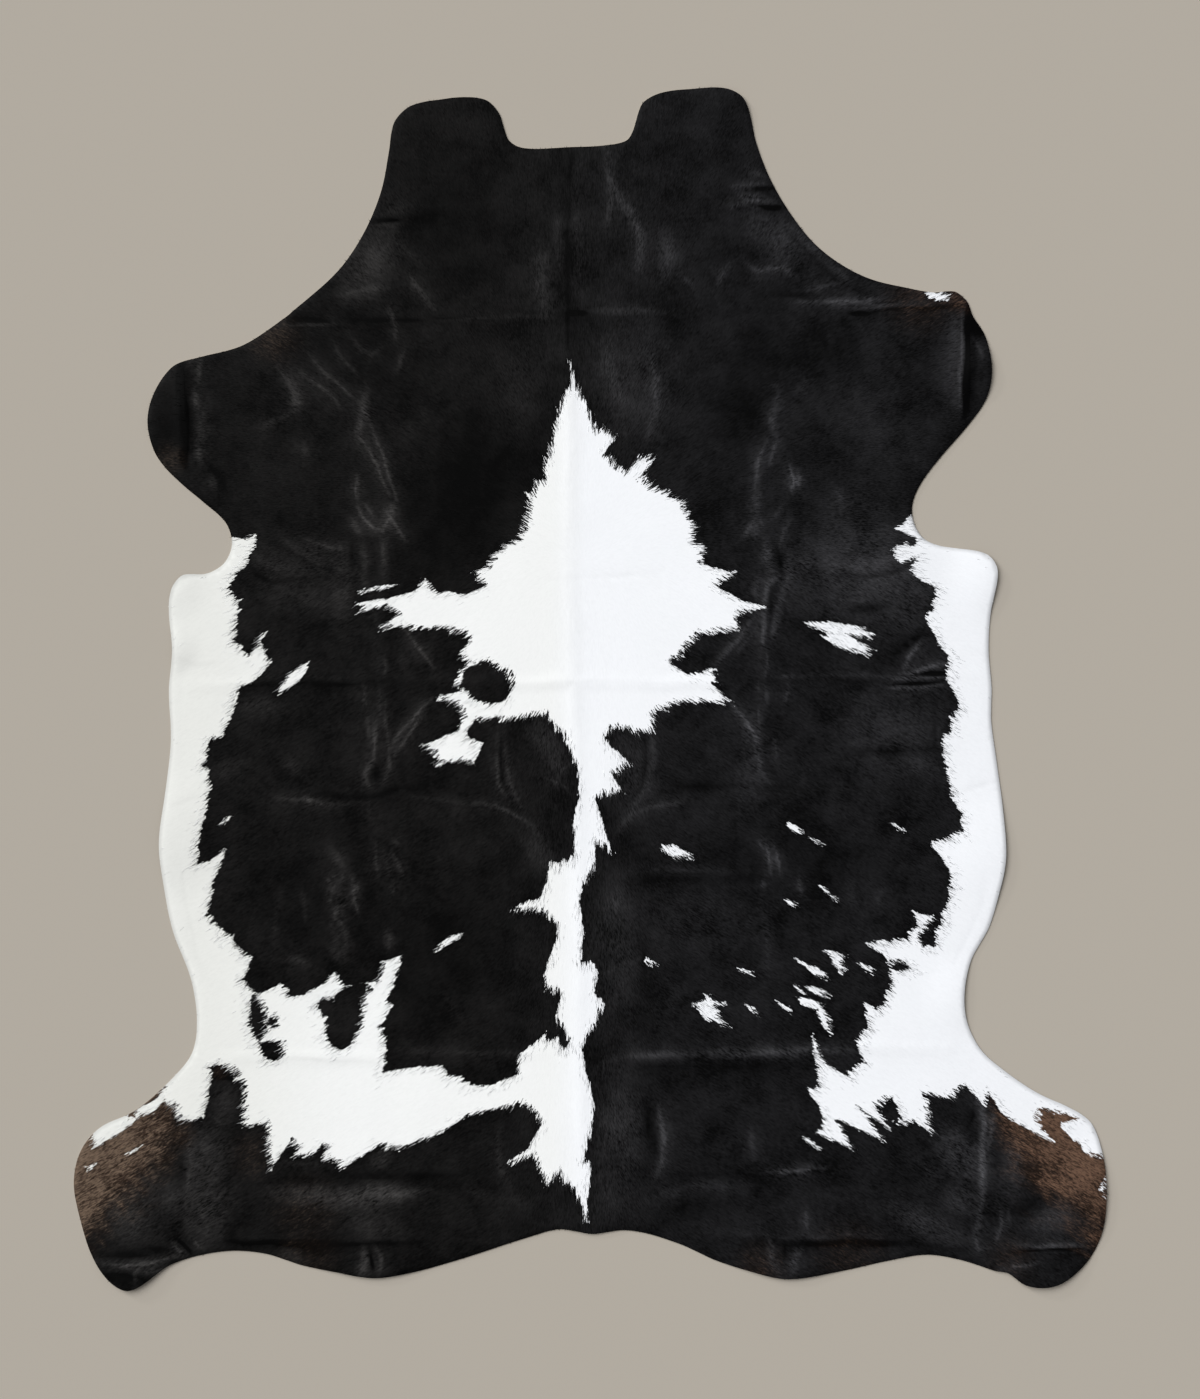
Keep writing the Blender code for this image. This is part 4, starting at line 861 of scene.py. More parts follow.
def relief(points):
    # Creases and unevenness of the coat's surface alone
    height = np.zeros(len(points))
    for name in ("undulation", "pebble"):
        height += ripple(points, sheetSizes[name + "Size"], noiseLayers[name]) * sheetSizes[name]
    shifted, strength = wavering(points)
    for halfWidth, amount, path in coatLines():
        rise = amount * creaseSizes["rise"] * min(1.0, halfWidth / creaseSizes["fullWidth"])
        height += rise * crease(shifted, halfWidth, path) * strength
    return height


def nearCrease(points, reach):
    # Which points lie by a crease that is strong and narrow enough to need finer squares
    sizes = creaseSizes
    shifted = wavering(points)[0]
    near = np.zeros(len(points), bool)
    for halfWidth, amount, path in coatLines():
        if abs(amount) > sizes["faint"] and halfWidth < sizes["broad"]:
            near |= alongPath(shifted, path)[0] < max(halfWidth, sizes["narrowest"]) + reach
    return near


def nearFold(points):
    near = np.zeros(len(points), bool)
    for halfWidth, _, rows in foldLines.values():
        near |= alongPath(points, rows)[0] < halfWidth * cm
    return near


def readRim(node):
    # The cut edge as a closed loop of (x, y), from the upper edges of the solid's side walls
    body = bmesh.new()
    body.from_mesh(node.data)
    bmesh.ops.remove_doubles(body, verts=body.verts, dist=sheetSizes["mergeGap"])
    body.normal_update()
    wallSlope = sheetSizes["wallSlope"]
    after = {}
    for edge in body.edges:
        walls = [face for face in edge.link_faces if abs(face.normal.z) < wallSlope]
        tops = [face for face in edge.link_faces if face.normal.z >= wallSlope]
        if len(walls) == 1 and len(tops) == 1:
            for loop in tops[0].loops:
                if loop.edge == edge:
                    after[loop.vert] = loop.link_loop_next.vert
    start = next(iter(after))
    rim, vert = [start.co.xy], after[start]
    while vert != start:
        rim.append(vert.co.xy)
        vert = after[vert]
    rim = np.array([tuple(p) for p in rim])
    body.free()
    return rim


def smoothLoop(loop, step):
    # A closed centripetal Catmull-Rom curve through the loop, with a point about every step
    points = []
    count = len(loop)
    for i in range(count):
        p0, p1, p2, p3 = (Vector(loop[(i + k) % count]) for k in (-1, 0, 1, 2))
        t1, t2, t3 = np.cumsum([math.sqrt((b - a).length) for a, b in ((p0, p1), (p1, p2), (p2, p3))])
        for t in np.linspace(t1, t2, max(1, round((p2 - p1).length / step)), endpoint=False):
            a1 = p0.lerp(p1, t / t1)
            a2 = p1.lerp(p2, (t - t1) / (t2 - t1))
            a3 = p2.lerp(p3, (t - t2) / (t3 - t2))
            b1 = a1.lerp(a2, t / t2)
            b2 = a2.lerp(a3, (t - t1) / (t3 - t1))
            points.append(tuple(b1.lerp(b2, (t - t1) / (t2 - t1))))
    return np.array(points)


def insetLoop(loop, distance):
    # The same anticlockwise loop, moved inwards
    way = np.roll(loop, -1, axis=0) - np.roll(loop, 1, axis=0)
    way /= np.linalg.norm(way, axis=1)[:, None]
    return loop + np.stack([-way[:, 1], way[:, 0]], axis=1) * distance


def squareCorners(low, high, step, wanted):
    # Corners of a square grid whose squares are halved while wanted(middles, size) asks for it
    unit = step / 4
    columns, rows = np.meshgrid(np.arange(math.ceil((high[0] - low[0]) / step)),
                                np.arange(math.ceil((high[1] - low[1]) / step)))
    cells = np.stack([columns.ravel(), rows.ravel()], axis=1) * 4
    quarters = np.array([(0, 0), (0, 1), (1, 0), (1, 1)])
    corners = []
    for size in (4, 2, 1):
        middles = np.array(low) + (cells + size / 2) * unit
        split = wanted(middles, size * unit) if size > 1 else np.zeros(len(cells), bool)
        corners += [cells[~split] + quarter * size for quarter in quarters]
        cells = np.concatenate([cells[split] + quarter * size // 2 for quarter in quarters])
    return np.array(low) + np.unique(np.concatenate(corners), axis=0) * unit


def triangulate(rim, field):
    # Triangles over the inside of the rim, whose points come first and in their own order
    points = np.concatenate([rim, field])
    outline = [list(range(len(rim)))]
    insideOnly = 1
    verts, _, faces, origins, *_ = delaunay_2d_cdt([Vector(p) for p in points], [], outline, insideOnly,
                                                   sheetSizes["mergeGap"])
    if len(verts) != len(points) or any(origin[0] != i for i, origin in enumerate(origins)):
        raise ValueError("the pattern's points were merged or reordered")
    return points, [tuple(face) for face in faces]


def slopeAlong(points, faces, values, way):
    # How fast values grow along way at each point, averaged over its triangles
    a, b, c = (points[faces[:, k]] for k in range(3))
    va, vb, vc = (values[faces[:, k]] for k in range(3))
    area = (b[:, 0] - a[:, 0]) * (c[:, 1] - a[:, 1]) - (b[:, 1] - a[:, 1]) * (c[:, 0] - a[:, 0])
    area = np.where(np.abs(area) < tiny, tiny, area)
    gx = ((vb - va) * (c[:, 1] - a[:, 1]) - (vc - va) * (b[:, 1] - a[:, 1])) / area
    gy = ((vc - va) * (b[:, 0] - a[:, 0]) - (vb - va) * (c[:, 0] - a[:, 0])) / area
    total = np.zeros((len(points), 2))
    count = np.zeros(len(points))
    for k in range(3):
        np.add.at(total, faces[:, k], np.stack([gx, gy], axis=1))
        np.add.at(count, faces[:, k], 1)
    slope = total / np.maximum(count, 1)[:, None]
    return (slope * way).sum(1)


def fieldPoints(rim, outer, low, high):
    # Points inside the rim, for the top and for the underside
    rollOff = sheetSizes["rollOff"]

    def wanted(middles, size):
        reach = size * sheetSizes["squareReach"]
        depth = np.abs(whiteDepth(middles))
        if size > sheetSizes["coarseStep"] / 2:
            return (depth < sheetSizes["nearBorder"] + reach) | nearFold(middles) | nearCrease(middles, reach)
        return (depth < sheetSizes["atBorder"] + reach) | nearCrease(middles, 0)

    def never(middles, size):
        return np.zeros(len(middles), bool)

    field = squareCorners(low, high, sheetSizes["coarseStep"], wanted)
    field = field[signedDistance(field, outer) > rollOff + sheetSizes["clearRim"]]
    rings = [insetLoop(rim, rollOff * share) for share in sheetSizes["rings"]]
    rings = np.concatenate([rings[0], rings[1][::2]])
    rings = rings[signedDistance(rings, outer) > rollOff * sheetSizes["ringClear"]]
    under = squareCorners(low, high, sheetSizes["underStep"], never)
    under = under[signedDistance(under, outer) > rollOff]
    return np.concatenate([rings, field]), under


uvLayout = {
    "margin": 0.002,
    "shrink": 0.15,               # size of the underside's map beside the hide's own
    "corner": (0.862, 0.01),
    "wallWidth": 0.03,            # metres at the same size for the strip of wall round it
}


def mapHide(mesh, rim, top, base, low, high):
    # Seen from above the map is the hide itself. Beside it lies the underside, small, with the wall round it.
    span = high[1] - low[1]
    margin, shrink, corner = uvLayout["margin"], uvLayout["shrink"], np.array(uvLayout["corner"])
    topMap = (top - low) / span * (1 - 2 * margin) + margin
    baseMap = (base - low) / span * shrink + corner
    wallMap = (insetLoop(rim, -uvLayout["wallWidth"]) - low) / span * shrink + corner
    loopVerts = np.zeros(len(mesh.loops), int)
    mesh.loops.foreach_get("vertex_index", loopVerts)
    uvs = np.concatenate([topMap, baseMap])[loopVerts]
    firstWall = len(mesh.loops) - 4 * len(rim)
    uvs[firstWall::4] = wallMap
    uvs[firstWall + 3::4] = np.roll(wallMap, -1, axis=0)
    mesh.uv_layers.new(name="OFBake").data.foreach_set("uv", uvs.astype(np.float32).ravel())


def storeLayer(mesh, name, values):
    layer = mesh.attributes.new(name, "FLOAT", "POINT")
    layer.data.foreach_set("value", values.astype(np.float32))


def buildHide():
    rim = smoothLoop(readRim(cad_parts["hide"]), sheetSizes["rimStep"])
    outer = rim[::4]
    low, high = rim.min(0), rim.max(0)
    rollOff = sheetSizes["rollOff"]
    field, under = fieldPoints(rim, outer, low, high)
    top, topFaces = triangulate(rim, field)
    base, baseFaces = triangulate(rim, under)
    edgeDepth = np.concatenate([np.zeros(len(rim)), signedDistance(field, outer)])
    rolled = np.sqrt(1 - (1 - np.clip(edgeDepth / rollOff, 0, 1)) ** 2)
    topHeight = lift(top) + sheetSizes["skin"] + sheetSizes["coat"] * rolled
    topHeight += relief(top) * softStep(edgeDepth, 0, sheetSizes["reliefWidth"] * rollOff)

    verts = np.concatenate([np.column_stack([top, topHeight]), np.column_stack([base, lift(base)])])
    start, count = len(top), len(rim)
    walls = [(i, start + i, start + (i + 1) % count, (i + 1) % count) for i in range(count)]
    faces = topFaces + [tuple(start + i for i in reversed(face)) for face in baseFaces] + walls
    mesh = bpy.data.meshes.new("cowhide")
    mesh.from_pydata(verts.tolist(), [], faces)
    sides = np.repeat([0, 1], [len(topFaces), len(faces) - len(topFaces)])
    mesh.polygons.foreach_set("material_index", sides)

    way = hairDirection(top)
    depth = whiteDepth(top)
    limit = toothSizes["pushLimit"]
    push = np.clip(-slopeAlong(top, np.array(topFaces), depth, way), -limit, limit)
    for name, values in (("whiteDepth", depth), ("borderPush", push), ("brownShare", brownShare(top)),
                         ("paintedSheen", paintedSheen(top)), ("edgeDepth", edgeDepth)):
        storeLayer(mesh, name, np.concatenate([values, np.full(len(base), -1.0)]))
    ways = np.concatenate([np.column_stack([way, np.zeros(start)]),
                           np.tile((0.0, -1.0, 0.0), (len(base), 1))])
    layer = mesh.attributes.new("hairWay", "FLOAT_VECTOR", "POINT")
    layer.data.foreach_set("vector", ways.astype(np.float32).ravel())
    mapHide(mesh, rim, top, base, low, high)

    mesh.shade_smooth()
    mesh.set_sharp_from_angle(angle=math.radians(sheetSizes["sharpAngle"]))
    hide = bpy.data.objects.new("cowhide", mesh)
    scene.collection.objects.link(hide)
    print("hide:", start, "points on top,", len(faces), "faces,",
          "reach", np.round(verts.min(0), 4), np.round(verts.max(0), 4))
    return hide


class Wire:
    # One socket of a node tree. A formula written in Python adds its Math nodes.
    def __init__(self, tree, socket=None):
        self.tree = tree
        self.socket = socket

    def node(self, kind, settings=None, inputs=None, out=0):
        made = self.tree.nodes.new(kind)
        for name, value in (settings or {}).items():
            setattr(made, name, value)
        for name, value in (inputs or {}).items():
            if isinstance(value, Wire):
                self.tree.links.new(value.socket, made.inputs[name])
            else:
                made.inputs[name].default_value = value
        return Wire(self.tree, made.outputs[out])

    def math(self, operation, *values):
        return self.node("ShaderNodeMath", {"operation": operation}, dict(enumerate(values)))

    def __add__(self, other):
        return self.math("ADD", self, other)

    def __radd__(self, other):
        return self.math("ADD", other, self)

    def __sub__(self, other):
        return self.math("SUBTRACT", self, other)

    def __rsub__(self, other):
        return self.math("SUBTRACT", other, self)

    def __mul__(self, other):
        return self.math("MULTIPLY", self, other)

    def __rmul__(self, other):
        return self.math("MULTIPLY", other, self)

    def __truediv__(self, other):
        return self.math("DIVIDE", self, other)

    def step(self, low, high):
        return self.node("ShaderNodeMapRange", {"interpolation_type": "SMOOTHSTEP"},
                         {"Value": self, "From Min": low, "From Max": high})

    def colors(self, first, second):
        # From the first colour at 0 to the second at 1
        tints = [c if isinstance(c, Wire) else (*c, 1.0) for c in (first, second)]
        return self.node("ShaderNodeMix", {"data_type": "RGBA"}, {0: self, 6: tints[0], 7: tints[1]}, out=2)


def newMaterial(name):
    material = bpy.data.materials.new(name)
    material.use_nodes = True
    shader = material.node_tree.nodes["Principled BSDF"]
    return material, Wire(material.node_tree), shader


def plug(start, value, socket):
    if isinstance(value, Wire):
        start.tree.links.new(value.socket, socket)
    else:
        socket.default_value = value


coatLook = {
    # Streaks along the hair: metres across and along, slice of the noise, and its detail
    "tufts": {"across": 2.5 * mm, "along": 19 * mm, "layer": 0.0, "detail": 2.0},
    "hairs": {"across": 1.8 * mm, "along": 8 * mm, "layer": 4.0, "detail": 1.0},
    "locks": {"across": 4.0 * mm, "along": 17 * mm, "layer": 8.0, "detail": 2.0},
    "streakRoughness": 0.55,
    "cloud": {"Scale": 10.0, "Detail": 6.0, "Roughness": 0.66},
    "tuftReach": 17 * mm,         # how far a tuft lies over the other colour
    "tuftStep": (0.34, 0.72),     # from nothing to a whole tuft
    "tuftMiddle": 0.42,
    "tuftLeast": 0.25,            # reach that is left where the hair lies along the border
    "hairReach": 6.0 * mm,
    "softEdge": 0.8 * mm,
    # The dark coat's colours at value 1, warmer and darker on the left, lighter and cooler on the right where
    # its sheen is painted in, and how the streaks and clouds change its value
    "blackWarm": (0.086, 0.082, 0.080),
    "blackCoolSheen": (0.113, 0.112, 0.121),
    "blackSides": (-0.30, 0.30),
    "blackValue": 0.060,
    "blackLeast": 0.010,
    "blackSwing": {"hairs": 2.6, "locks": 1.0, "cloud": 4.4},
    # painted sheen: how much it lightens the dark coat, and how the streaks and clouds change it
    "sheenValue": 0.85,
    "sheenMiddle": 0.45,
    "sheenSwing": {"hairs": 1.2, "locks": 1.0, "cloud": 1.3},
    "brownDark": (0.022, 0.013, 0.009),
    "brownLeft": (0.160, 0.112, 0.079),
    "brownRight": (0.143, 0.083, 0.055),
    "brownSides": (-0.2, 0.2),
    "brownGain": 1.2,             # how soon the brown replaces the black
    "brownSwing": {"tufts": 1.4, "hairs": 0.8},
    "brownStep": (0.0, 0.80),
    "brownTone": 0.62,            # and how light it is where there is most of it
    "brownToneSwing": {"hairs": 1.9, "tufts": 1.2, "cloud": 1.6},
    "brownToneStep": (0.0, 1.0),
    # The white coat from the left flank to the right one, and where on X one changes to the next
    "whiteLeft": (0.800, 0.805, 0.770),
    "whiteCream": (0.893, 0.902, 0.893),
    "whiteMiddle": (0.903, 0.918, 0.944),
    "whiteRight": (0.870, 0.885, 0.915),
    "leftSides": (-0.80, -0.45),
    "middleSides": (-0.09, 0.0),
    "rightSides": (0.30, 0.80),
    "whiteValue": 0.985,
    "whiteSwing": {"hairs": 0.10, "locks": 0.06},
    "whiteCreaseShade": 0.10,          # painted shade: how much a crease darkens it
    "rimShade": 0.72,             # painted shade: the white coat's tone right at the cut edge
    "rimShadeWidth": 10 * mm,
    "roughness": 0.50,
    "roughSwing": {"locks": -0.25, "cloud": -0.2},
    "roughWhite": 0.3,
    "specular": 0.035,
    "relief": 0.35 * mm,
    "reliefStrength": 0.5,
    "reliefHairs": 0.6,           # share of the relief that single hairs make, the tufts the rest
}


def streakField(start, place, directions):
    # Noise drawn out along the hair, where its direction is a blend of the nearest two fixed angles
    dx, dy = (start.node("ShaderNodeSeparateXYZ", inputs={0: directions}, out=axis) for axis in (0, 1))
    x, y = (start.node("ShaderNodeSeparateXYZ", inputs={0: place}, out=axis) for axis in (0, 1))
    cosDouble = dx * dx - dy * dy
    sinDouble = dx * dy * 2
    weights = []
    for angle in hairAngles:
        match = cosDouble * math.cos(2 * angle) + sinDouble * math.sin(2 * angle)
        turn = match.math("ARCCOSINE", match.math("MINIMUM", match, almostOne))
        weights.append(turn.math("MAXIMUM", turn.math("COSINE", turn * angleFocus), 0.0))

    def streaks(across, along, layer, detail):
        total = 0.5
        for angle, weight in zip(hairAngles, weights):
            u = (x * math.cos(angle) + y * math.sin(angle)) / along
            v = (y * math.cos(angle) - x * math.sin(angle)) / across
            where = start.node("ShaderNodeCombineXYZ", inputs={0: u, 1: v, 2: layer + angle})
            grain = start.node("ShaderNodeTexNoise", inputs={
                "Vector": where, "Scale": 1.0, "Detail": detail, "Roughness": coatLook["streakRoughness"]})
            total = total + (grain - 0.5) * weight
        return total

    return streaks


def readFactor(start, name):
    return start.node("ShaderNodeAttribute", {"attribute_name": name}, out="Fac")


def coatMaterial():
    material, start, shader = newMaterial("blackAndWhiteCoat")
    look = coatLook
    nothing = (0.0, 0.0, 0.0)
    place = start.node("ShaderNodeTexCoord", out="Object")
    across = start.node("ShaderNodeSeparateXYZ", inputs={0: place})
    brown, paintedShine = readFactor(start, "brownShare"), readFactor(start, "paintedSheen")
    way = start.node("ShaderNodeAttribute", {"attribute_name": "hairWay"}, out="Vector")
    streaks = streakField(start, place, way)
    fields = {name: streaks(**look[name]) for name in ("tufts", "hairs", "locks")}
    fields["cloud"] = start.node("ShaderNodeTexNoise", inputs={"Vector": place, **look["cloud"]})

    def swung(middle, swings):
        # The middle value, changed by each named field either way
        for name, swing in swings.items():
            middle = middle + (fields[name] - 0.5) * swing
        return middle

    def overSides(sides, left, right):
        # One colour on the left and another on the right, blended between two places on X
        return across.step(*look[sides]).colors(left, right)

    tuft = fields["tufts"].step(*look["tuftStep"]) - look["tuftMiddle"]
    push = readFactor(start, "borderPush") + look["tuftLeast"]
    border = readFactor(start, "whiteDepth") + push * look["tuftReach"] * tuft
    white = swung(border, {"hairs": look["hairReach"]}).step(-look["softEdge"], look["softEdge"])

    # painted sheen and shade lighten or darken the dark coat's colour
    paintedGloss = paintedShine * swung(look["sheenMiddle"], look["sheenSwing"])
    value = swung(1.0, look["blackSwing"]) * look["blackValue"] + paintedGloss * look["sheenValue"]
    black = overSides("blackSides", look["blackWarm"], look["blackCoolSheen"])
    blackLit = value.math("MAXIMUM", value, look["blackLeast"]).colors(nothing, black)
    browned = (brown * swung(look["brownGain"], look["brownSwing"])).step(*look["brownStep"])
    brownTone = swung(brown * look["brownTone"], look["brownToneSwing"]).step(*look["brownToneStep"])
    brownSide = overSides("brownSides", look["brownLeft"], look["brownRight"])
    dark = browned.colors(blackLit, brownTone.colors(look["brownDark"], brownSide))

    leftWhite = overSides("leftSides", look["whiteLeft"], look["whiteCream"])
    rightWhite = overSides("rightSides", look["whiteMiddle"], look["whiteRight"])
    whiteTone = overSides("middleSides", leftWhite, rightWhite)
    # painted shade: creases darken the white coat
    lit = swung(look["whiteValue"], look["whiteSwing"]) - paintedShine.math("ABSOLUTE", paintedShine) * look["whiteCreaseShade"]
    # painted shade along the cut edge of the white coat
    rim = readFactor(start, "edgeDepth").step(0.0, look["rimShadeWidth"])
    rimShade = rim * (1.0 - look["rimShade"]) + look["rimShade"]
    whiteLit = (lit * rimShade).colors(nothing, whiteTone)

    plug(start, white.colors(dark, whiteLit), shader.inputs["Base Color"])
    rough = swung(look["roughness"], look["roughSwing"]) + white * look["roughWhite"]
    plug(start, rough, shader.inputs["Roughness"])
    height = fields["hairs"] * look["reliefHairs"] + fields["tufts"] * (1.0 - look["reliefHairs"])
    bump = start.node("ShaderNodeBump", inputs={
        "Strength": look["reliefStrength"], "Distance": look["relief"], "Height": height})
    plug(start, bump, shader.inputs["Normal"])
    shader.inputs["Specular IOR Level"].default_value = look["specular"]
    return material


leatherLook = {
    "pale": (0.47, 0.43, 0.38),
    "dark": (0.37, 0.33, 0.285),
    "mottle": {"Scale": 5.0, "Detail": 5.0, "Roughness": 0.6},
    "mottleStep": (0.3, 0.7),
    "mottleShare": 0.75,
    "grain": {"Scale": 420.0, "Detail": 2.0},
    "grainShare": 0.35,
    "grainDepth": 0.25 * mm,
    "grainStrength": 0.6,
    "roughness": 0.86,
    "roughSwing": 0.15,
    "specular": 0.25,
}


def leatherMaterial():
    material, start, shader = newMaterial("tannedLeather")
    look = leatherLook
    place = start.node("ShaderNodeTexCoord", out="Object")
    mottle, grain = (start.node("ShaderNodeTexNoise", inputs={"Vector": place, **look[name]})
                     for name in ("mottle", "grain"))
    pale = mottle.step(*look["mottleStep"]) * look["mottleShare"] + grain * look["grainShare"]
    plug(start, pale.colors(look["dark"], look["pale"]), shader.inputs["Base Color"])
    plug(start, look["roughness"] + (grain - 0.5) * look["roughSwing"], shader.inputs["Roughness"])
    bump = start.node("ShaderNodeBump", inputs={
        "Strength": look["grainStrength"], "Distance": look["grainDepth"], "Height": grain})
    plug(start, bump, shader.inputs["Normal"])
    shader.inputs["Specular IOR Level"].default_value = look["specular"]
    return material


# Hair of each colour: darkest and lightest tuft, roughness, and how much it gains from the coat's painted
# sheen
hairLook = {
    "black": ((0.0044, 0.0042, 0.0042), (0.0092, 0.0089, 0.0090), 0.50, 5.5),
    "white": ((0.86, 0.87, 0.88), (0.92, 0.93, 0.94), 0.80, 0.0),
    "brown": ((0.035, 0.022, 0.016), (0.135, 0.090, 0.063), 0.55, 0.0),
}
hairCloud = {"Scale": 8.0, "Detail": 3.0}
hairTones = {"own": 0.6, "shineLeast": 0.6, "shineSwing": 0.8, "roughSwing": 0.1}


def hairMaterial(color):
    # Each tuft has its own tone, in soft clouds over the hide, and is painted lighter where the coat under it
    # has painted sheen
    material, start, shader = newMaterial(color + "Hair")
    dark, light, roughness, paintedSheenGain = hairLook[color]
    tone = readFactor(start, "hairTone")
    place = start.node("ShaderNodeTexCoord", out="Object")
    cloud = start.node("ShaderNodeTexNoise", inputs={"Vector": place, **hairCloud})
    share = tone * hairTones["own"] + cloud * (1.0 - hairTones["own"])
    # painted sheen: the coat's painted sheen lightens the tuft
    if paintedSheenGain:
        gain = hairTones["shineLeast"] + tone * hairTones["shineSwing"]
        share = share + readFactor(start, "paintedSheen") * paintedSheenGain * gain
    made = share.colors(dark, light)
    made.socket.node.clamp_factor = False
    plug(start, made, shader.inputs["Base Color"])
    plug(start, roughness + (tone - 0.5) * hairTones["roughSwing"], shader.inputs["Roughness"])
    shader.inputs["Specular IOR Level"].default_value = coatLook["specular"]
    return material


hairSizes = {
    "Length": 14 * mm,
    "Width": 1.3 * mm,
    "Flatness": 0.34,             # height of a tuft as a share of its width
    "Lift": 4.0,                  # degrees off the coat
    "Turn": 13.0,                 # degrees either way from the coat's direction
    "Sink": 0.3 * mm,             # root below the surface
    "Density": 24000.0,           # tufts for each square metre of full hair
}

# How single tufts differ: lowest, highest, and what is added to the seed
hairSpread = {
    "yaw": (-1.0, 1.0, 1),        # times the turn
    "pitch": (0.3, 1.6, 2),       # times the lift
    "roll": (-0.6, 0.6, 3),       # radians
    "stretch": (0.6, 1.25, 4),
    "widen": (0.6, 1.3, 5),
    "tone": (0.0, 1.0, 6),
}

hairPlanting = {
    "upward": 0.4,                # least rise of the normal of a face that bears hair
    "clearFloor": 0.3 * mm,
    "startsOver": (0.5 * mm, 2.5 * mm),     # distances from the cut edge over which the hair starts
    "growsOver": (1 * mm, 16 * mm),         # and over which it reaches its full length
    "shortest": 0.35,
    "borderReach": 15 * mm,       # near a border of the markings it is longer and denser
    "borderLonger": 0.15,
    "rimMiddle": 4 * mm,          # and denser in a band along the cut edge
    "rimReach": 9 * mm,
    "whiteOver": (-0.4 * mm, 0.6 * mm),     # depths in the white coat over which white hair begins
    "darkOver": (-0.6 * mm, 0.4 * mm),      # and dark hair ends
    "brownOver": (0.5, 0.9),
    "dark": (0.26, 1.5, 0.8),     # shares of full hair: everywhere, at the borders, along the cut edge
    "white": (0.0, 1.4, 0.25),
    "brown": (0.35, 0.0, 1.0),
    "whiteDensity": 30000.0,
}


def hairTree(material):
    # Tufts stand on the coat's points, along the hair, as many as the attribute hairShare asks for
    tree = bpy.data.node_groups.new("hairTufts", "GeometryNodeTree")
    tree.interface.new_socket("Geometry", in_out="INPUT", socket_type="NodeSocketGeometry")
    for name, value in hairSizes.items():
        tree.interface.new_socket(name, in_out="INPUT", socket_type="NodeSocketFloat").default_value = value
    tree.interface.new_socket("Seed", in_out="INPUT", socket_type="NodeSocketInt")
    tree.interface.new_socket("Geometry", in_out="OUTPUT", socket_type="NodeSocketGeometry")
    group = tree.nodes.new("NodeGroupInput")
    given = {socket.name: Wire(tree, socket) for socket in group.outputs}
    start = Wire(tree)

    share = start.node("GeometryNodeInputNamedAttribute", {"data_type": "FLOAT"}, {"Name": "hairShare"})
    normal = start.node("GeometryNodeInputNormal")
    up = start.node("ShaderNodeSeparateXYZ", inputs={0: normal}, out=2)
    upward = start.node("FunctionNodeCompare", {"data_type": "FLOAT", "operation": "GREATER_THAN"},
                        {0: up, 1: hairPlanting["upward"]})
    roots = start.node("GeometryNodeDistributePointsOnFaces", {"distribute_method": "RANDOM"},
                       {"Mesh": given["Geometry"], "Selection": upward, "Density": share * given["Density"],
                        "Seed": given["Seed"]})
    rootNormal = Wire(tree, roots.socket.node.outputs["Normal"])
    way = start.node("GeometryNodeInputNamedAttribute", {"data_type": "FLOAT_VECTOR"}, {"Name": "hairWay"})
    longer = start.node("GeometryNodeInputNamedAttribute", {"data_type": "FLOAT"}, {"Name": "hairScale"})
    laid = start.node("FunctionNodeAxesToRotation", {"primary_axis": "Z", "secondary_axis": "X"},
                      {0: rootNormal, 1: way})

    def spread(name):
        low, high, layer = hairSpread[name]
        return start.node("FunctionNodeRandomValue", {"data_type": "FLOAT"},
                          {2: low, 3: high, 8: given["Seed"] + layer}, out=1)

    degree = math.pi / 180
    yaw = spread("yaw") * given["Turn"] * degree
    pitch = spread("pitch") * given["Lift"] * -degree
    roll = spread("roll")
    euler = start.node("ShaderNodeCombineXYZ", inputs={0: roll, 1: pitch, 2: yaw})
    turn = start.node("FunctionNodeEulerToRotation", inputs={0: euler})
    turned = start.node("FunctionNodeRotateRotation", {"rotation_space": "LOCAL"}, {0: laid, 1: turn})
    stretch = spread("stretch") * longer
    widen = spread("widen")
    size = start.node("ShaderNodeCombineXYZ", inputs={0: stretch, 1: widen, 2: widen})

    spike = start.node("GeometryNodeMeshCone", {"fill_type": "NGON"},
                       {"Vertices": 3, "Side Segments": 1, "Radius Top": 0.0,
                        "Radius Bottom": given["Width"] * 0.5, "Depth": given["Length"]})
    flatSize = start.node("ShaderNodeCombineXYZ", inputs={0: given["Flatness"], 1: 1.0, 2: 1.0})
    flat = start.node("GeometryNodeTransform", inputs={"Geometry": spike, "Scale": flatSize})
    sunk = start.node("ShaderNodeCombineXYZ", inputs={2: given["Sink"] * -1.0})
    lying = start.node("GeometryNodeTransform",
                       inputs={"Geometry": flat, "Translation": sunk, "Rotation": (0.0, math.pi / 2, 0.0)})
    spikes = start.node("GeometryNodeInstanceOnPoints",
                        inputs={"Points": roots, "Instance": lying, "Rotation": turned, "Scale": size})
    toned = start.node("GeometryNodeStoreNamedAttribute", {"data_type": "FLOAT", "domain": "INSTANCE"},
                       {"Geometry": spikes, "Name": "hairTone", "Value": spread("tone")})
    real = start.node("GeometryNodeRealizeInstances", inputs={"Geometry": toned})
    painted = start.node("GeometryNodeSetMaterial", inputs={"Geometry": real, "Material": material})
    end = tree.nodes.new("NodeGroupOutput")
    tree.links.new(painted.socket, end.inputs[0])
    return tree


def readPlaces(mesh):
    places = np.zeros(len(mesh.vertices) * 3, np.float32)
    mesh.vertices.foreach_get("co", places)
    return places.reshape(-1, 3)


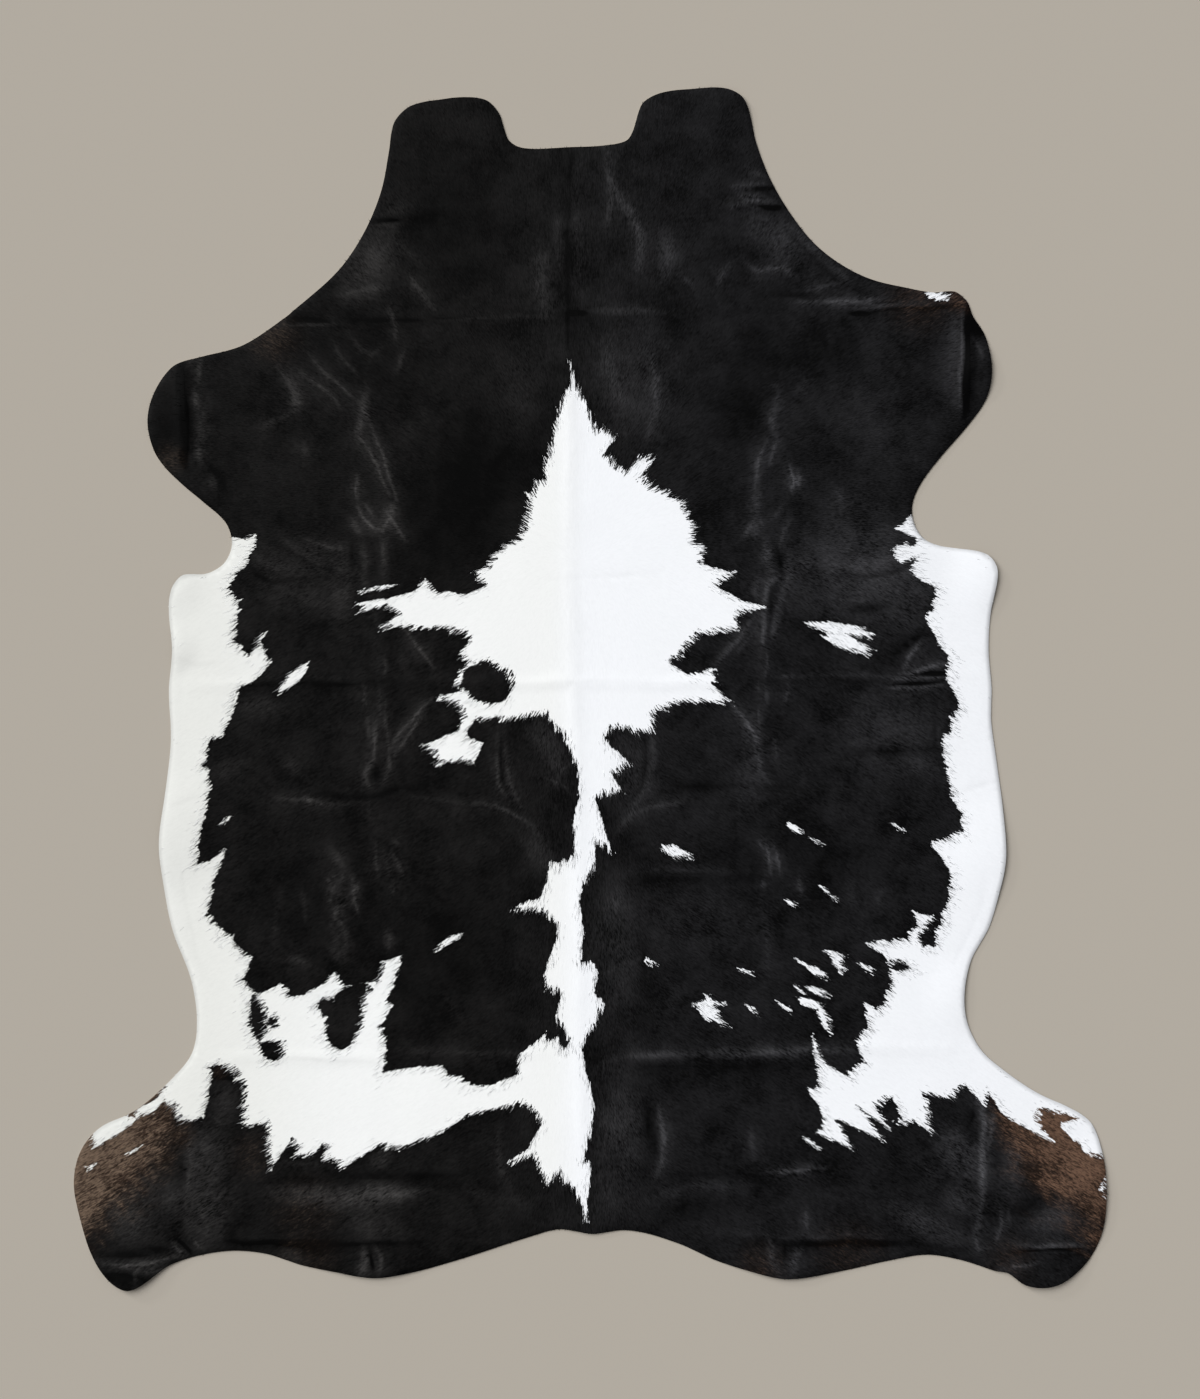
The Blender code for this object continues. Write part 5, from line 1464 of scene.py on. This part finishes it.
def growHair(hide, name, material, share, scale, **inputs):
    # Plants tufts on the hide's coat and returns them as one plain mesh
    bed = bpy.data.objects.new(name + "Bed", hide.data.copy())
    scene.collection.objects.link(bed)
    storeLayer(bed.data, "hairShare", share)
    storeLayer(bed.data, "hairScale", scale)
    tree = hairTree(material)
    modifier = bed.modifiers.new("hair", "NODES")
    modifier.node_group = tree
    sockets = {item.name: item.identifier for item in tree.interface.items_tree if item.in_out == "INPUT"}
    for key, value in inputs.items():
        modifier[sockets[key]] = value
    evaluated = bed.evaluated_get(bpy.context.evaluated_depsgraph_get())
    mesh = bpy.data.meshes.new_from_object(evaluated)
    places = readPlaces(mesh)
    places[:, 2] = np.maximum(places[:, 2], hairPlanting["clearFloor"])
    mesh.vertices.foreach_set("co", places.astype(np.float32).ravel())
    mesh.name = name
    hair = bpy.data.objects.new(name, mesh)
    scene.collection.objects.link(hair)
    bpy.data.objects.remove(bed)
    for extra in ("hairShare", "hairScale", "whiteDepth", "borderPush", "brownShare", "edgeDepth", "hairWay"):
        if extra in mesh.attributes:
            mesh.attributes.remove(mesh.attributes[extra])
    mesh.shade_smooth()
    print(name + ":", len(mesh.polygons), "faces")
    return hair


def readLayer(mesh, name):
    values = np.zeros(len(mesh.vertices), np.float32)
    mesh.attributes[name].data.foreach_get("value", values)
    return values.astype(float)


def buildHair(hide):
    sizes = hairPlanting
    mesh = hide.data
    depth, brown, edge = (readLayer(mesh, name) for name in ("whiteDepth", "brownShare", "edgeDepth"))
    onLeft = readPlaces(mesh)[:, 0] < 0
    onCoat = softStep(edge, *sizes["startsOver"])
    border = softBump(depth, sizes["borderReach"])
    rim = softBump(edge - sizes["rimMiddle"], sizes["rimReach"])
    white = softStep(depth, *sizes["whiteOver"]) * onCoat
    dark = (1 - softStep(depth, *sizes["darkOver"])) * onCoat
    brownish = softStep(brown, *sizes["brownOver"])
    scale = sizes["shortest"] + (1 - sizes["shortest"]) * softStep(edge, *sizes["growsOver"])
    scale *= 1 + sizes["borderLonger"] * border

    def amount(color):
        everywhere, atBorder, atRim = sizes[color]
        return everywhere + atBorder * border + atRim * rim

    black, pale, tan = (hairMaterial(color) for color in ("black", "white", "brown"))
    blackShare = dark * (1 - brownish) * amount("dark")
    return [
        growHair(hide, "blackHairLeft", black, blackShare * onLeft, scale, Seed=11),
        growHair(hide, "blackHairRight", black, blackShare * ~onLeft, scale, Seed=12),
        growHair(hide, "whiteHair", pale, white * amount("white"), scale,
                 Density=sizes["whiteDensity"], Seed=13),
        growHair(hide, "brownHair", tan, dark * brownish * amount("brown"), scale, Seed=14),
    ]


studio = {
    "target": (0.020, -0.021),    # middle of the picture, metres on the floor
    "height": 6.0,
    "seenLength": 2.798,          # floor that the picture's long side takes in
    "sensor": 36.0,
    "floorSize": 80.0,
    "floorDrop": 0.2 * mm,
    "floorTone": (0.430, 0.392, 0.338),
    "floorRoughness": 0.9,
    "floorSpecular": 0.1,
    "lightTurn": 38.0,            # degrees of both lights from -X towards +Y
    "rakeRise": 17.0,
    "rakePower": 0.55,
    "rakeSpread": 7.0,
    "softRise": 50.0,
    "softPower": 2.84,
    "softSpread": 50.0,
    "worldTone": (0.97, 0.98, 1.0),
    "worldPower": 0.29,
}


def buildFloor():
    half = studio["floorSize"] / 2
    corners = [(x * half, y * half, -studio["floorDrop"]) for x, y in ((-1, -1), (1, -1), (1, 1), (-1, 1))]
    mesh = bpy.data.meshes.new("floor")
    mesh.from_pydata(corners, [], [(0, 1, 2, 3)])
    floor = bpy.data.objects.new("floor", mesh)
    scene.collection.objects.link(floor)
    material, _, shader = newMaterial("paleFloor")
    shader.inputs["Base Color"].default_value = (*studio["floorTone"], 1.0)
    shader.inputs["Roughness"].default_value = studio["floorRoughness"]
    shader.inputs["Specular IOR Level"].default_value = studio["floorSpecular"]
    mesh.materials.append(material)


def buildCamera():
    data = bpy.data.cameras.new("camera")
    data.sensor_width = studio["sensor"]
    data.lens = studio["sensor"] * studio["height"] / studio["seenLength"]
    camera = bpy.data.objects.new("camera", data)
    camera.location = (*studio["target"], studio["height"])
    scene.collection.objects.link(camera)
    scene.camera = camera


def buildSun(name, rise, power, spread):
    data = bpy.data.lights.new(name, "SUN")
    data.energy = power
    data.angle = math.radians(spread)
    sun = bpy.data.objects.new(name, data)
    turn, rise = math.radians(180 - studio["lightTurn"]), math.radians(rise)
    toLight = Vector((math.cos(turn) * math.cos(rise), math.sin(turn) * math.cos(rise), math.sin(rise)))
    sun.rotation_euler = toLight.to_track_quat("Z", "Y").to_euler()
    scene.collection.objects.link(sun)


def buildLight():
    buildSun("rakingLight", studio["rakeRise"], studio["rakePower"], studio["rakeSpread"])
    buildSun("softLight", studio["softRise"], studio["softPower"], studio["softSpread"])
    world = bpy.data.worlds.new("studio")
    world.use_nodes = True
    background = world.node_tree.nodes["Background"]
    background.inputs["Color"].default_value = (*studio["worldTone"], 1.0)
    background.inputs["Strength"].default_value = studio["worldPower"]
    scene.world = world
    scene.view_settings.view_transform = "Standard"


buildCamera()
buildLight()
buildFloor()
hide = buildHide()
hide.data.materials.append(coatMaterial())
hide.data.materials.append(leatherMaterial())
print("hide has its coat and leather")
hair = buildHair(hide)

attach(hide, "root")
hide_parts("hide")
for tufts in hair:
    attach(tufts, "root")
